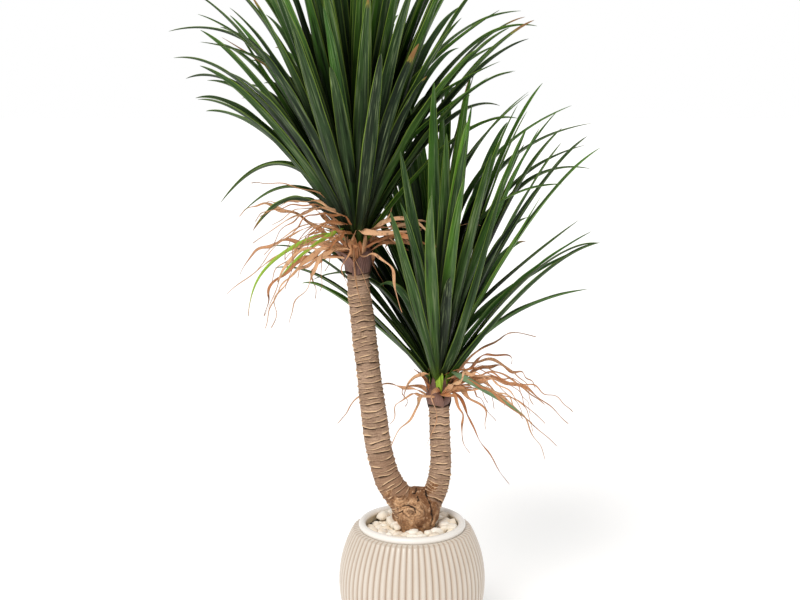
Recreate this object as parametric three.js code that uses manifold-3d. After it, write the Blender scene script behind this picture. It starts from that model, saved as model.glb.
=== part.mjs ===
// A potted cane yucca: one woody stump that forks into a tall and a short ringed cane, each with a
// head of sword leaves over a skirt of dry ones, in a ribbed globe pot topped with white pebbles.
// Millimetres, +Z up. The origin is the centre of the pot's flat base, and -Y faces the viewer.

import * as THREE from "three";
import { mergeVertices } from "three/addons/utils/BufferGeometryUtils.js";
import Module from "manifold-3d";

const wasm = await Module();
wasm.setup();

// Driving dimensions of the pot: a globe whose outer wall is an ellipse round its belt.
const POT = {
  beltHeight: 146,
  beltRadius: 151,
  beltRise: 188, // the ellipse's half height, past both ends of the pot
  baseRadius: 93,
  footHeight: 6,
  ribs: 68,
  ribDepth: 3.4,
  ribTop: 250,
  shoulder: 259,
  wall: 11,
  floor: 14,
  rimRadius: 102.5, // to the middle of the rolled rim
  rimHeight: 264.5,
  rimTube: 7.5,
};
const SEAT_GAP = 0.4; // between pieces that rest on or in each other

// What fills the pot.
const SOIL_TOP = 236;
const PEBBLES = { count: 42, bedThickness: 9, across: 15, tall: 15, inner: 54, outer: 87, seed: 41 };

// The stump stands in a plain socket in the soil, and both canes grow out of its upper half.
const STUMP = { x: 8, y: 0, foot: 130, footRadius: 34, waist: 243, radius: 43, top: 336 };
const RING_PITCH = 14;
const RING_HEIGHT = 1.6;

// Each cane's middle line and its radius at the foot and the top. Its last stretch is upright.
const CANES = {
  tall: {
    line: [
      [4, 0, 268], [-22, -3, 318], [-50, -6, 362], [-67, -9, 425], [-84, -16, 554],
      [-97, -24, 675], [-106, -31, 760], [-108, -33, 795],
    ],
    footRadius: 29,
    topRadius: 22.5,
  },
  short: {
    line: [[12, 0, 268], [34, 4, 304], [51, 9, 340], [58, 13, 385], [57, 17, 450], [54, 20, 512]],
    footRadius: 25,
    topRadius: 20.5,
  },
};

// Each head: the brown collar of old leaf bases, the green crown above it, and its blades.
// A free blade's rise is its slope at the root and its fall the slope at the tip, in degrees. It
// goes from the first value, on the lowest blades, to the second, on the youngest. A leading blade
// is given by where its tip lies, in millimetres from the head's base, by its slope there, and by
// the length of its two straight legs over the tip's distance from the base.
const HEADS = {
  tall: {
    collar: 52,
    crown: 150,
    blades: 40,
    length: 590,
    width: 27,
    rise: [58, 87],
    fall: [-16, 74],
    seed: 31,
    leading: [
      [-318, 184, 254, -7, 1.06], [-262, 84, 78, -52, 1.82], [-371, 74, 412, -14, 1.27],
      [-345, -26, 360, -9, 1.09], [-379, 144, 320, -18, 1.15], [-287, -96, 438, 16, 1.03],
      [-275, -156, 387, 6, 1.21], [-227, -6, 63, -44, 1.58], [-208, -6, 25, -56, 1.7],
      [342, -26, 419, -12, 1.15], [263, -156, 353, 20, 1.1], [-37, -260, 344, 30, 0.9],
      [131, -180, 327, 33, 0.9], [94, -200, 435, 36, 0.9], [-253, -40, 399, 30, 1.21],
      [-246, 80, 430, 56, 1.15], [319, 60, 451, 3, 1.15], [261, -160, 443, 27, 1.09],
      [281, 130, 389, 20, 1.03], [246, -140, 325, 30, 1.03], [222, 110, 288, 17, 1.03],
    ],
  },
  short: {
    collar: 38,
    crown: 135,
    blades: 32,
    length: 570,
    width: 25,
    rise: [54, 87],
    fall: [-14, 74],
    seed: 111,
    leading: [
      [184, 100, 592, 32, 1.12], [276, 130, 563, 18, 1.21], [324, 170, 525, 6, 1.27],
      [297, 70, 485, 12, 1.15], [310, 80, 436, -12, 1.27], [255, -180, 431, 4, 1.27],
      [263, -110, 353, 38, 1.06], [282, -150, 336, 29, 0.97], [289, 140, 258, 20, 1.05],
      [297, -20, 204, 8, 1.03], [75, 20, 654, 72, 1.12], [-282, 80, 199, -26, 1.03],
      [-260, 60, 209, -28, 1.36], [-118, -170, 235, -20, 1.12], [-49, -100, 267, 46, 0.9],
      [-8, -110, 419, 55, 0.9], [14, -200, 255, 25, 0.9], [184, 40, 588, 35, 1.15],
      [110, -190, 443, 68, 1.09], [178, -110, 410, 55, 1.21], [187, -130, 400, 58, 1.15],
    ],
  },
};
const CROWN_RADIUS = 19;
const CROWN_BELLY = 28;
const ROOT_RADIUS = 12;
const BEND_SHARE = 0.74; // of a free blade's length, up to where it leans over
const FRONT_LIFT = 45; // degrees that the front blades' tips stand up over those at the back
const OLD_LENGTH = 0.78; // of a head's blade length, on its lowest blades
const YOUNG_LENGTH = 1.14;
const BLADE_STATIONS = [0, 0.14, 0.34, 0.54, 0.75, 1];
const WIDEST = 0.4; // of a blade's length, from its root
const ROOT_SHARE = 0.48; // of its full width, at the root
const TAPER = 0.62; // the power of the taper from the widest place to the tip
const KEEL = 2.4;
const CLEARANCE = 1.2;
const TRIES = 24;

// Dry leaves, narrow, waved and twisted, hang in a skirt from the collar. Their tips and slopes are
// given as the leading blades' are, and a fifth value is how much wider than the rest one is.
const SKIRTS = {
  tall: {
    leaves: 10,
    length: 300,
    width: 16,
    seed: 3,
    leading: [
      [-259, 3, -100, -42], [-252, 93, -78, -78], [-223, 123, -131, -66], [-184, 53, -152, -68],
      [-178, -57, -141, -80], [-214, -17, -136, -72], [-249, 113, 43, -50], [-203, 163, 62, -20],
      [240, 53, -78, -32], [196, 123, -52, -30], [187, 153, 36, -8], [163, -27, -12, -50],
      [34, -41, -162, -84],
    ],
  },
  short: {
    leaves: 8,
    length: 270,
    width: 16,
    seed: 5,
    leading: [
      [198, 50, 95, -12], [264, 10, -63, -42], [266, -60, -81, -38], [231, 60, -177, -66],
      [135, -80, -185, -58], [143, -40, -58, -60], [227, 90, -35, -50], [145, -110, 48, -60],
      [195, 130, 8, -50], [-101, -80, -57, -76], [172, 40, -54, -70], [179, -120, -37, -38, 1.6],
    ],
  },
};
const DRY_ARCH = 1.25; // a leading dry leaf's two legs over the straight way to its tip
const DRY_STATIONS = [0, 0.16, 0.36, 0.56, 0.78, 1];
const BRACTS = 5;

const GOLDEN_ANGLE = Math.PI * (3 - Math.sqrt(5));
const UP = new THREE.Vector3(0, 0, 1);
const radians = THREE.MathUtils.degToRad;
const mix = THREE.MathUtils.lerp;

// A seeded draw: each call gives the next number from 0 to 1.
function draws(seed) {
  let state = seed;
  return () => {
    state = (state * 16807) % 2147483647;
    return state / 2147483647;
  };
}

// Solids and surfaces.

// The closed solid that a three.js geometry bounds.
function solidOf(geometry) {
  const bare = geometry.index ? geometry.toNonIndexed() : geometry.clone();
  bare.deleteAttribute("normal");
  bare.deleteAttribute("uv");
  const merged = mergeVertices(bare, 1e-4);
  return new wasm.Manifold(
    new wasm.Mesh({
      numProp: 3,
      vertProperties: merged.attributes.position.array,
      triVerts: new Uint32Array(merged.index.array),
    }),
  );
}

// The triangles of a solid's largest shell: without the others, each small hollow that is sealed
// among the roots of its leaves is filled.
function largestShell(triangles, vertexCount) {
  const shells = Uint32Array.from({ length: vertexCount }, (_, i) => i);
  const shellOf = (vertex) => {
    let shell = vertex;
    while (shells[shell] !== shell) shell = shells[shell];
    shells[vertex] = shell;
    return shell;
  };
  for (let i = 0; i < triangles.length; i += 3) {
    shells[shellOf(triangles[i + 1])] = shellOf(triangles[i]);
    shells[shellOf(triangles[i + 2])] = shellOf(triangles[i]);
  }
  const counts = new Map();
  for (const vertex of triangles) counts.set(shellOf(vertex), (counts.get(shellOf(vertex)) ?? 0) + 1);
  const [largest] = [...counts].reduce((best, entry) => (entry[1] > best[1] ? entry : best));
  return triangles.filter((vertex) => shellOf(vertex) === largest);
}

function geometryOf(solid) {
  const { triVerts, vertProperties } = solid.getMesh();
  const geometry = new THREE.BufferGeometry();
  geometry.setAttribute("position", new THREE.BufferAttribute(vertProperties, 3));
  const triangles = largestShell(triVerts, vertProperties.length / 3);
  geometry.setIndex(new THREE.BufferAttribute(triangles, 1));
  const flat = geometry.toNonIndexed();
  flat.computeVertexNormals();
  return flat;
}

// The solid inside a stack of rings with as many points each, wound anticlockwise as seen from the
// far end. Each end is closed to its ring's first point, or to a tip where that ring is one point.
// Where the rings turn anticlockwise on their way up, the faces between them are split along their
// other diagonal, so that they bulge out and the walls of a thin twisted solid don't cross.
function skin(rings, turning = false) {
  const positions = [];
  const face = (a, b, c) => positions.push(...a.toArray(), ...b.toArray(), ...c.toArray());
  const sides = rings[0].length;
  rings.slice(1).forEach((upper, i) => {
    const lower = rings[i];
    for (let j = 0; j < sides; j += 1) {
      const k = (j + 1) % sides;
      if (upper.length === 1) {
        face(lower[j], lower[k], upper[0]);
      } else if (turning) {
        face(lower[j], lower[k], upper[j]);
        face(lower[k], upper[k], upper[j]);
      } else {
        face(lower[j], lower[k], upper[k]);
        face(lower[j], upper[k], upper[j]);
      }
    }
  });
  const last = rings[rings.length - 1];
  for (let j = 1; j < sides - 1; j += 1) {
    face(rings[0][0], rings[0][j + 1], rings[0][j]);
    if (last.length > 1) face(last[0], last[j], last[j + 1]);
  }
  const geometry = new THREE.BufferGeometry();
  geometry.setAttribute("position", new THREE.Float32BufferAttribute(positions, 3));
  return solidOf(geometry);
}

// A solid of revolution round the upright axis, from [radius, height] pairs that run up its outline.
function turned(outline, sides) {
  const points = outline.map(([radius, height]) => new THREE.Vector2(radius, height));
  const geometry = new THREE.LatheGeometry(points, sides);
  geometry.rotateX(Math.PI / 2);
  return solidOf(geometry);
}

// A ring of points at one height, where radiusAt gives the radius at each angle.
function ring(sides, height, radiusAt) {
  return Array.from({ length: sides }, (_, i) => {
    const angle = (i / sides) * 2 * Math.PI;
    const radius = radiusAt(angle, i);
    return new THREE.Vector3(radius * Math.cos(angle), radius * Math.sin(angle), height);
  });
}

function named(name, solid, colour, roughness) {
  const material = new THREE.MeshStandardMaterial({ color: colour, roughness, metalness: 0 });
  const mesh = new THREE.Mesh(geometryOf(solid), material);
  mesh.name = name;
  return mesh;
}

// The pot.

function potRadius(height) {
  const share = (height - POT.beltHeight) / POT.beltRise;
  return POT.beltRadius * Math.sqrt(1 - share * share);
}

// Every second point round the wall lies at the bottom of a groove.
function potBody() {
  const points = POT.ribs * 2;
  const ridged = (height) => ring(points, height, (_, i) => potRadius(height) - (i % 2) * POT.ribDepth);
  const plain = (height, radius) => ring(points, height, () => radius);
  const ribFoot = POT.footHeight + 6;
  const bands = 5;
  const rows = [plain(0, POT.baseRadius), plain(POT.footHeight, POT.baseRadius)];
  for (let i = 0; i <= bands; i += 1) rows.push(ridged(mix(ribFoot, POT.ribTop, i / bands)));
  rows.push(plain(POT.shoulder, POT.rimRadius + POT.rimTube - 1));
  return skin(rows);
}

// The outline of what fills the pot up to a height, with a gap all round it.
function fillOutline(gap, top) {
  const neck = POT.rimRadius - POT.rimTube - gap;
  const heights = [POT.floor + gap, 60, POT.beltHeight, 215, 245];
  const wall = heights
    .filter((height) => height < top)
    .map((height) => [Math.min(potRadius(height) - POT.wall - gap, neck + 30), height]);
  const mouth = top > 245 ? [[neck, 252], [neck, top]] : [[neck + 10, top]];
  return [[0, POT.floor + gap], ...wall, ...mouth, [0, top]];
}

function potSolid() {
  const sides = 40;
  const corners = 8;
  const rimOutline = Array.from({ length: corners + 1 }, (_, i) => {
    const angle = ((i % corners) / corners) * 2 * Math.PI;
    return [POT.rimRadius + POT.rimTube * Math.cos(angle), POT.rimHeight + POT.rimTube * Math.sin(angle)];
  });
  const above = POT.rimHeight + 2 * POT.rimTube;
  return potBody().subtract(turned(fillOutline(0, above), sides)).add(turned(rimOutline, sides));
}

// Soil and pebbles.

// A disc of soil or pebbles that fills the pot's neck between two heights.
function neckDisc(from, to) {
  const radius = POT.rimRadius - POT.rimTube - SEAT_GAP;
  return turned([[0, from], [radius, from], [radius, to], [0, to]], 28);
}

function soilSolid() {
  return turned(fillOutline(SEAT_GAP, SOIL_TOP), 24).subtract(stumpSolid(SEAT_GAP));
}

// Pebbles lie in a sunflower spiral round the stump, each a rounded stone turned its own way, on a
// thin bed that joins them.
function pebbleSolid() {
  const draw = draws(PEBBLES.seed);
  const bedFloor = SOIL_TOP + SEAT_GAP;
  const bedTop = bedFloor + PEBBLES.bedThickness;
  const stones = Array.from({ length: PEBBLES.count }, (_, i) => {
    const share = (i + 0.5) / PEBBLES.count;
    const reach = Math.sqrt(mix(PEBBLES.inner ** 2, PEBBLES.outer ** 2, share));
    const angle = i * GOLDEN_ANGLE;
    const size = mix(0.75, 1.25, draw());
    const stone = new THREE.IcosahedronGeometry(1, 0);
    stone.rotateX(draw() * Math.PI);
    stone.rotateY(draw() * Math.PI);
    stone.scale(PEBBLES.across * size * mix(0.85, 1.3, draw()), PEBBLES.across * size, PEBBLES.tall * size);
    stone.rotateZ(draw() * Math.PI);
    stone.translate(reach * Math.cos(angle), reach * Math.sin(angle), bedTop - mix(4, 7, draw()));
    return solidOf(stone);
  });
  return wasm.Manifold.union([neckDisc(bedFloor, bedTop), ...stones])
    .intersect(neckDisc(bedFloor, POT.rimHeight))
    .subtract(stumpSolid(2 * SEAT_GAP));
}

// The stump and its canes.

// A sweep of rings along a cane: at each leaf scar the bark flares to a ridge, and just under the
// ridge it steps back in.
function caneSolid(cane) {
  const sides = 10;
  const curve = new THREE.CatmullRomCurve3(cane.line.map((point) => new THREE.Vector3(...point)));
  const length = curve.getLength();
  const scars = Math.round(length / RING_PITCH);
  const rings = [];
  const add = (share, extra, tilt) => {
    const middle = curve.getPointAt(share);
    const along = share === 1 ? UP.clone() : curve.getTangentAt(share);
    const side = new THREE.Vector3(0, 1, 0).cross(along).normalize();
    const front = along.clone().cross(side);
    const radius = mix(cane.footRadius, cane.topRadius, share) + extra;
    rings.push(
      Array.from({ length: sides }, (_, i) => {
        const angle = (i / sides) * 2 * Math.PI;
        return middle
          .clone()
          .addScaledVector(side, radius * Math.cos(angle))
          .addScaledVector(front, radius * Math.sin(angle))
          .addScaledVector(along, tilt * Math.sin(angle * 2));
      }),
    );
  };
  add(0, 0, 0);
  for (let i = 1; i < scars; i += 1) {
    const share = i / scars;
    const tilt = 1.5 * Math.sin(i * 2.4);
    add(share - 2.5 / length, -RING_HEIGHT / 2, tilt);
    add(share, RING_HEIGHT, tilt);
  }
  add(1, 0, 0);
  return skin(rings);
}

function stumpRadius(height, angle) {
  const grown = THREE.MathUtils.smoothstep(height, STUMP.waist, STUMP.waist + 40);
  const closing = THREE.MathUtils.smoothstep(height, STUMP.top - 42, STUMP.top + 20);
  const burls = 0.07 * Math.sin(3 * angle + 0.8) + 0.05 * Math.sin(5 * angle + height / 14);
  return mix(STUMP.footRadius, STUMP.radius * (1 + burls), grown) * (1 - 0.75 * closing);
}

// The stump, or with a gap all round it, the hole that it stands in.
function stumpSolid(gap) {
  const sides = 18;
  const heights = [STUMP.foot - gap, STUMP.waist, 258, 274, 290, 306, 322, STUMP.top + gap];
  const rings = heights.map((height) => ring(sides, height, (angle) => stumpRadius(height, angle) + gap));
  return skin(rings).translate([STUMP.x, STUMP.y, 0]);
}

function trunkSolid() {
  return wasm.Manifold.union([stumpSolid(0), caneSolid(CANES.tall), caneSolid(CANES.short), ...knots()]);
}

// Two healed branch scars swell from the stump's front: a large oval one low down, and a smaller
// one where the tall cane leaves.
function knots() {
  return [[-2, -38, 283, 19, 11, 13], [-26, -26, 322, 12, 9, 10]].map(([x, y, z, wide, deep, tall]) => {
    const knot = new THREE.IcosahedronGeometry(1, 1);
    knot.scale(wide, deep, tall);
    knot.translate(x, y, z);
    return solidOf(knot);
  });
}

// Blades.

// The middle of a head's foot: above the cane's top and the collar.
function headBase(name) {
  const [x, y, z] = CANES[name].line.at(-1);
  return new THREE.Vector3(x, y, z + HEADS[name].collar + 2 * SEAT_GAP);
}

function outward(azimuth) {
  return new THREE.Vector3(Math.cos(azimuth), Math.sin(azimuth), 0);
}

function slope(out, degrees) {
  const angle = radians(degrees);
  return out.clone().multiplyScalar(Math.cos(angle)).addScaledVector(UP, Math.sin(angle));
}

// A blade follows a quadratic curve from its root, by the point where it leans over, to its tip.
function bladePoint(blade, share) {
  const rest = 1 - share;
  const wave = blade.wave * share * Math.sin(blade.waves * Math.PI * share + blade.phase);
  return blade.root
    .clone()
    .multiplyScalar(rest * rest)
    .addScaledVector(blade.bend, 2 * rest * share)
    .addScaledVector(blade.tip, share * share)
    .addScaledVector(blade.side, wave);
}

// Full width at the given share of its length: narrow at the root, then one long taper.
function bladeWidth(blade, share) {
  if (share < WIDEST) return blade.width * (1 - (1 - ROOT_SHARE) * (1 - share / WIDEST) ** 2);
  return blade.width * ((1 - share) / (1 - WIDEST)) ** TAPER;
}

// Unit vectors across a blade, from its middle to one margin, and out of its upper face.
function bladeFrame(blade, share) {
  const step = 0.01;
  const start = Math.min(share, 1 - step);
  const along = bladePoint(blade, start + step).sub(bladePoint(blade, start)).normalize();
  const across = blade.side.clone().addScaledVector(along, -blade.side.dot(along)).normalize();
  const over = along.clone().cross(across);
  const roll = blade.twist * share;
  return {
    across: across.clone().multiplyScalar(Math.cos(roll)).addScaledVector(over, Math.sin(roll)),
    over: over.clone().multiplyScalar(Math.cos(roll)).addScaledVector(across, -Math.sin(roll)),
  };
}

// A blade's solid has three edges: the two margins and a keel under the middle.
function bladeSolid(blade) {
  const rings = blade.stations.slice(0, -1).map((share) => {
    const middle = bladePoint(blade, share);
    const { across, over } = bladeFrame(blade, share);
    const half = bladeWidth(blade, share) / 2;
    return [
      middle.clone().addScaledVector(across, half),
      middle.clone().addScaledVector(across, -half),
      middle.clone().addScaledVector(over, -blade.keel),
    ];
  });
  return skin([...rings, [blade.tip.clone()]], blade.twist > 0);
}

// The straight stretches between a blade's stations, each with how far the blade reaches from them.
function bladeStretches(owner, blade) {
  return blade.stations.slice(1).map((share, i) => {
    const from = blade.stations[i];
    const half = Math.max(bladeWidth(blade, from), bladeWidth(blade, share)) / 2;
    const flat = bladeFrame(blade, (from + share) / 2);
    return {
      owner,
      from: bladePoint(blade, from),
      to: bladePoint(blade, share),
      across: flat.across,
      over: flat.over,
      half,
      deep: blade.twist ? half : blade.keel,
    };
  });
}

function roundStretches(owner, line, radius) {
  return line.slice(1).map((to, i) => {
    const along = to.clone().sub(line[i]).normalize();
    const across = new THREE.Vector3(0, 1, 0).cross(along).normalize();
    return { owner, from: line[i], to, across, over: along.cross(across), half: radius, deep: radius };
  });
}

// How far a stretch reaches in a direction. A round one reaches a little further at its corners.
function reach(stretch, direction) {
  const sideways = stretch.half * Math.abs(stretch.across.dot(direction));
  return sideways + stretch.deep * Math.abs(stretch.over.dot(direction));
}

// The free distance between two stretches, below zero where they may cross.
function freeGap(first, second) {
  const u = first.to.clone().sub(first.from);
  const v = second.to.clone().sub(second.from);
  const between = first.from.clone().sub(second.from);
  const uu = u.dot(u);
  const vv = v.dot(v);
  const uv = u.dot(v);
  const ub = u.dot(between);
  const vb = v.dot(between);
  const spread = uu * vv - uv * uv;
  let s = spread > 1e-9 ? THREE.MathUtils.clamp((uv * vb - ub * vv) / spread, 0, 1) : 0;
  let t = (uv * s + vb) / vv;
  if (t < 0) {
    t = 0;
    s = THREE.MathUtils.clamp(-ub / uu, 0, 1);
  } else if (t > 1) {
    t = 1;
    s = THREE.MathUtils.clamp((uv - ub) / uu, 0, 1);
  }
  between.addScaledVector(u, s).addScaledVector(v, -t);
  const distance = between.length();
  if (distance < 1e-6) return -Infinity;
  between.divideScalar(distance);
  return distance - reach(first, between) - reach(second, between);
}

// The least free distance from a blade to what is placed already, in its own piece and in others.
// A blade starts inside its own head, so its first stretch isn't tested.
function freedom(owner, head, blade, taken) {
  const free = { own: Infinity, others: Infinity };
  for (const stretch of bladeStretches(owner, blade).slice(1)) {
    for (const other of taken) {
      if (other.owner === `${head} crown`) continue;
      const gap = freeGap(stretch, other);
      if (other.owner === owner) free.own = Math.min(free.own, gap);
      else free.others = Math.min(free.others, gap);
    }
  }
  return free;
}

// Swings a blade to one side and the other until it is clear of the other pieces and, where it can
// be, of its own. A blade that stays in the way of another piece is left out.
function place(owner, head, series, taken, placed) {
  let best = null;
  for (let attempt = 0; attempt < TRIES; attempt += 1) {
    const swing = Math.ceil(attempt / 2) * (attempt % 2 ? 1 : -1);
    const blade = series(swing);
    const free = freedom(owner, head, blade, taken);
    if (free.others > CLEARANCE && (!best || free.own > best.own)) best = { blade, own: free.own };
    if (best && best.own > 0) break;
  }
  if (!best) return;
  placed.push(best.blade);
  taken.push(...bladeStretches(owner, best.blade).slice(1));
}

function newBlade(name, azimuth, radius, height, shape) {
  const out = outward(azimuth);
  const root = headBase(name).addScaledVector(out, radius).addScaledVector(UP, height);
  return { root, out, side: new THREE.Vector3(-out.y, out.x, 0), ...shape };
}

function greenShape(width) {
  return { width, keel: KEEL, twist: 0, wave: 0, waves: 0, phase: 0, stations: BLADE_STATIONS };
}

// Every second dry leaf twists the other way.
function dryShape(width, index, chances) {
  const twist = mix(0.8, 2.4, chances[0]) * (index % 2 ? 1 : -1);
  const waves = mix(2.5, 4.5, chances[1]);
  return { width, keel: 2, twist, wave: 12, waves, phase: 6 * chances[2], stations: DRY_STATIONS };
}

// Bends a blade so that it ends at its tip with the slope given there, by two straight legs of the
// length given.
function reachTip(blade, name, [x, y, z, fall], legs) {
  blade.tip = headBase(name).addScaledVector(blade.out, Math.hypot(x, y)).addScaledVector(UP, z);
  const whole = blade.tip.clone().sub(blade.root);
  const both = Math.max(legs, whole.length() * 1.02);
  const last = slope(blade.out, fall);
  const leg = (both ** 2 - whole.lengthSq()) / (2 * (both - whole.dot(last)));
  blade.bend = blade.tip.clone().addScaledVector(last, -leg);
  return blade;
}

function leadingBlade(name, target, swing) {
  const [x, y, z, , slack] = target;
  const azimuth = Math.atan2(y, x) + radians(swing);
  const height = 5 + Math.max(0, z) / 14;
  const blade = newBlade(name, azimuth, ROOT_RADIUS, height, greenShape(HEADS[name].width));
  return reachTip(blade, name, target, slack * Math.hypot(x, y, z));
}

// A free blade: the lowest lean out and arch over, the youngest stand up, and those on the front
// droop less.
function freeBlade(name, index, chances, swing) {
  const head = HEADS[name];
  const age = index / (head.blades - 1);
  const azimuth = index * GOLDEN_ANGLE + radians(10 * (chances[0] - 0.5) + 4 * swing);
  const rise = mix(head.rise[0], head.rise[1], age ** 1.5) + 6 * (chances[1] - 0.5);
  const lift = FRONT_LIFT * Math.max(0, -Math.sin(azimuth));
  const leaning = mix(head.fall[0], head.fall[1], age) + lift + 20 * (chances[2] - 0.5);
  const fall = Math.min(rise - 6, leaning);
  const grown = head.length * mix(OLD_LENGTH, YOUNG_LENGTH, age);
  const length = grown * mix(0.93, 1.07, chances[3]) * (1 - 0.25 * age ** 4);
  const shape = greenShape(head.width * mix(0.85, 1.08, chances[4]));
  const radius = ROOT_RADIUS * (1 - 0.6 * age);
  const blade = newBlade(name, azimuth, radius, mix(4, head.crown - 40, age), shape);
  blade.bend = blade.root.clone().addScaledVector(slope(blade.out, rise), length * BEND_SHARE);
  blade.tip = blade.bend
    .clone()
    .addScaledVector(slope(blade.out, fall), length * (1 - BEND_SHARE))
    .addScaledVector(blade.side, 40 * (chances[5] - 0.5));
  return blade;
}

function leadingDry(name, target, index, chances, swing) {
  const [x, y, z, , wider = 1] = target;
  const azimuth = Math.atan2(y, x) + radians(3) * swing;
  const shape = dryShape(wider * SKIRTS[name].width * mix(0.75, 1.15, chances[3]), index, chances);
  const blade = newBlade(name, azimuth, CROWN_RADIUS * 0.7, -mix(10, 30, chances[4]), shape);
  return reachTip(blade, name, target, DRY_ARCH * Math.hypot(x, y, z));
}

function freeDry(name, index, chances, swing) {
  const skirt = SKIRTS[name];
  const azimuth = index * GOLDEN_ANGLE + radians(4) * swing;
  const length = skirt.length * mix(0.6, 1.15, chances[5]);
  const shape = dryShape(skirt.width * mix(0.75, 1.15, chances[3]), index, chances);
  const blade = newBlade(name, azimuth, CROWN_RADIUS * 0.7, -mix(10, 30, chances[4]), shape);
  const rise = slope(blade.out, mix(10, 42, chances[6]));
  const fall = slope(blade.out, mix(-84, -50, chances[7]));
  blade.bend = blade.root.clone().addScaledVector(rise, length * 0.5);
  blade.tip = blade.bend.clone().addScaledVector(fall, length * 0.58);
  return blade;
}

// What every blade keeps clear of before any is placed: the canes and each head's own crown.
function standingParts() {
  return Object.entries(CANES).flatMap(([name, cane]) => {
    const line = cane.line.map((point) => new THREE.Vector3(...point));
    const base = headBase(name);
    const top = base.clone().addScaledVector(UP, HEADS[name].crown);
    return [
      ...roundStretches("trunk", line, (cane.footRadius + cane.topRadius) / 2 + RING_HEIGHT),
      ...roundStretches(`${name} crown`, [line.at(-1), base, top], CROWN_BELLY),
    ];
  });
}

// Places every blade: the leading ones first, then the free ones, and the dry ones last.
function placeBlades() {
  const taken = standingParts();
  const placed = { tall: [], short: [], tallDry: [], shortDry: [] };
  const names = Object.keys(HEADS);
  for (const name of names) {
    for (const target of HEADS[name].leading) {
      place(name, name, (swing) => leadingBlade(name, target, swing), taken, placed[name]);
    }
  }
  for (const name of names) {
    const draw = draws(HEADS[name].seed);
    for (let i = 0; i < HEADS[name].blades; i += 1) {
      const chances = Array.from({ length: 6 }, draw);
      place(name, name, (swing) => freeBlade(name, i, chances, swing), taken, placed[name]);
    }
  }
  for (const name of names) {
    const { leading, leaves, seed } = SKIRTS[name];
    const draw = draws(seed);
    for (let i = 0; i < leading.length + leaves; i += 1) {
      const chances = Array.from({ length: 8 }, draw);
      const series = (swing) =>
        i < leading.length
          ? leadingDry(name, leading[i], i, chances, swing)
          : freeDry(name, i, chances, swing);
      place(`${name} skirt`, name, series, taken, placed[`${name}Dry`]);
    }
  }
  return placed;
}

// The crown swells where the blades leave it and closes to a point among the youngest.
function headSolid(name, blades) {
  const base = headBase(name);
  const { crown } = HEADS[name];
  const shoulder = [CROWN_BELLY - 5, crown * 0.6];
  const outline = [[0, 0], [CROWN_RADIUS, 0], [CROWN_BELLY, 45], shoulder, [0, crown]];
  return wasm.Manifold.union([turned(outline, 12).translate(base.toArray()), ...blades.map(bladeSolid)]);
}

// The collar of old leaf bases, with pointed bracts pressed to it, and the skirt that hangs from it.
function skirtSolid(name, blades) {
  const { topRadius } = CANES[name];
  const { collar } = HEADS[name];
  const base = headBase(name);
  const foot = base.z - SEAT_GAP - collar;
  const outline = [
    [0, 0], [topRadius, 0], [topRadius + 2, collar * 0.3], [topRadius, collar * 0.7],
    [CROWN_RADIUS, collar], [0, collar],
  ];
  const bracts = Array.from({ length: BRACTS }, (_, i) => {
    const out = outward((i / BRACTS) * 2 * Math.PI + 0.5);
    const root = new THREE.Vector3(base.x, base.y, foot + 4).addScaledVector(out, topRadius - 3);
    return bladeSolid({
      ...greenShape(26),
      root,
      bend: root.clone().addScaledVector(out, 9).addScaledVector(UP, collar * 0.4),
      tip: root.clone().addScaledVector(out, 9).addScaledVector(UP, collar * 0.85),
      side: new THREE.Vector3(-out.y, out.x, 0),
      stations: [0, 0.5, 1],
    });
  });
  const stem = turned(outline, 12).translate([base.x, base.y, foot]);
  return wasm.Manifold.union([stem, ...bracts, ...blades.map(bladeSolid)]);
}

// The whole plant in its pot.

const placed = placeBlades();
const pottedYucca = new THREE.Group();
pottedYucca.name = "potted_yucca";
pottedYucca.add(
  named("pot", potSolid(), 0xe8decb, 0.5),
  named("soil", soilSolid(), 0x3a2c20, 0.95),
  named("pebbles", pebbleSolid(), 0xf0e6d2, 0.6),
  named("trunk", trunkSolid(), 0xa08468, 0.85),
  named("tall_head_leaves", headSolid("tall", placed.tall), 0x2e4a2a, 0.45),
  named("short_head_leaves", headSolid("short", placed.short), 0x35542c, 0.45),
  named("tall_head_dry_skirt", skirtSolid("tall", placed.tallDry), 0xa8714a, 0.8),
  named("short_head_dry_skirt", skirtSolid("short", placed.shortDry), 0xa8714a, 0.8),
);

export default pottedYucca;
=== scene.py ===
# %% [markdown]
# # A potted cane yucca
#
# One woody stump forks into a tall and a short cane. Each cane ends in a collar of old leaf bases,
# a skirt of dry leaves and a head of sword leaves, and the stump stands in a ribbed globe pot that
# is topped with white pebbles. Pot and plant together stand 1.52 m tall.
#
# The CAD model gives every main form and its place, and each gets its fine surface here. Lengths
# are in millimetres while a shape is worked out, and become metres in the mesh.

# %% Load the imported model
import math
from functools import partial

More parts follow.
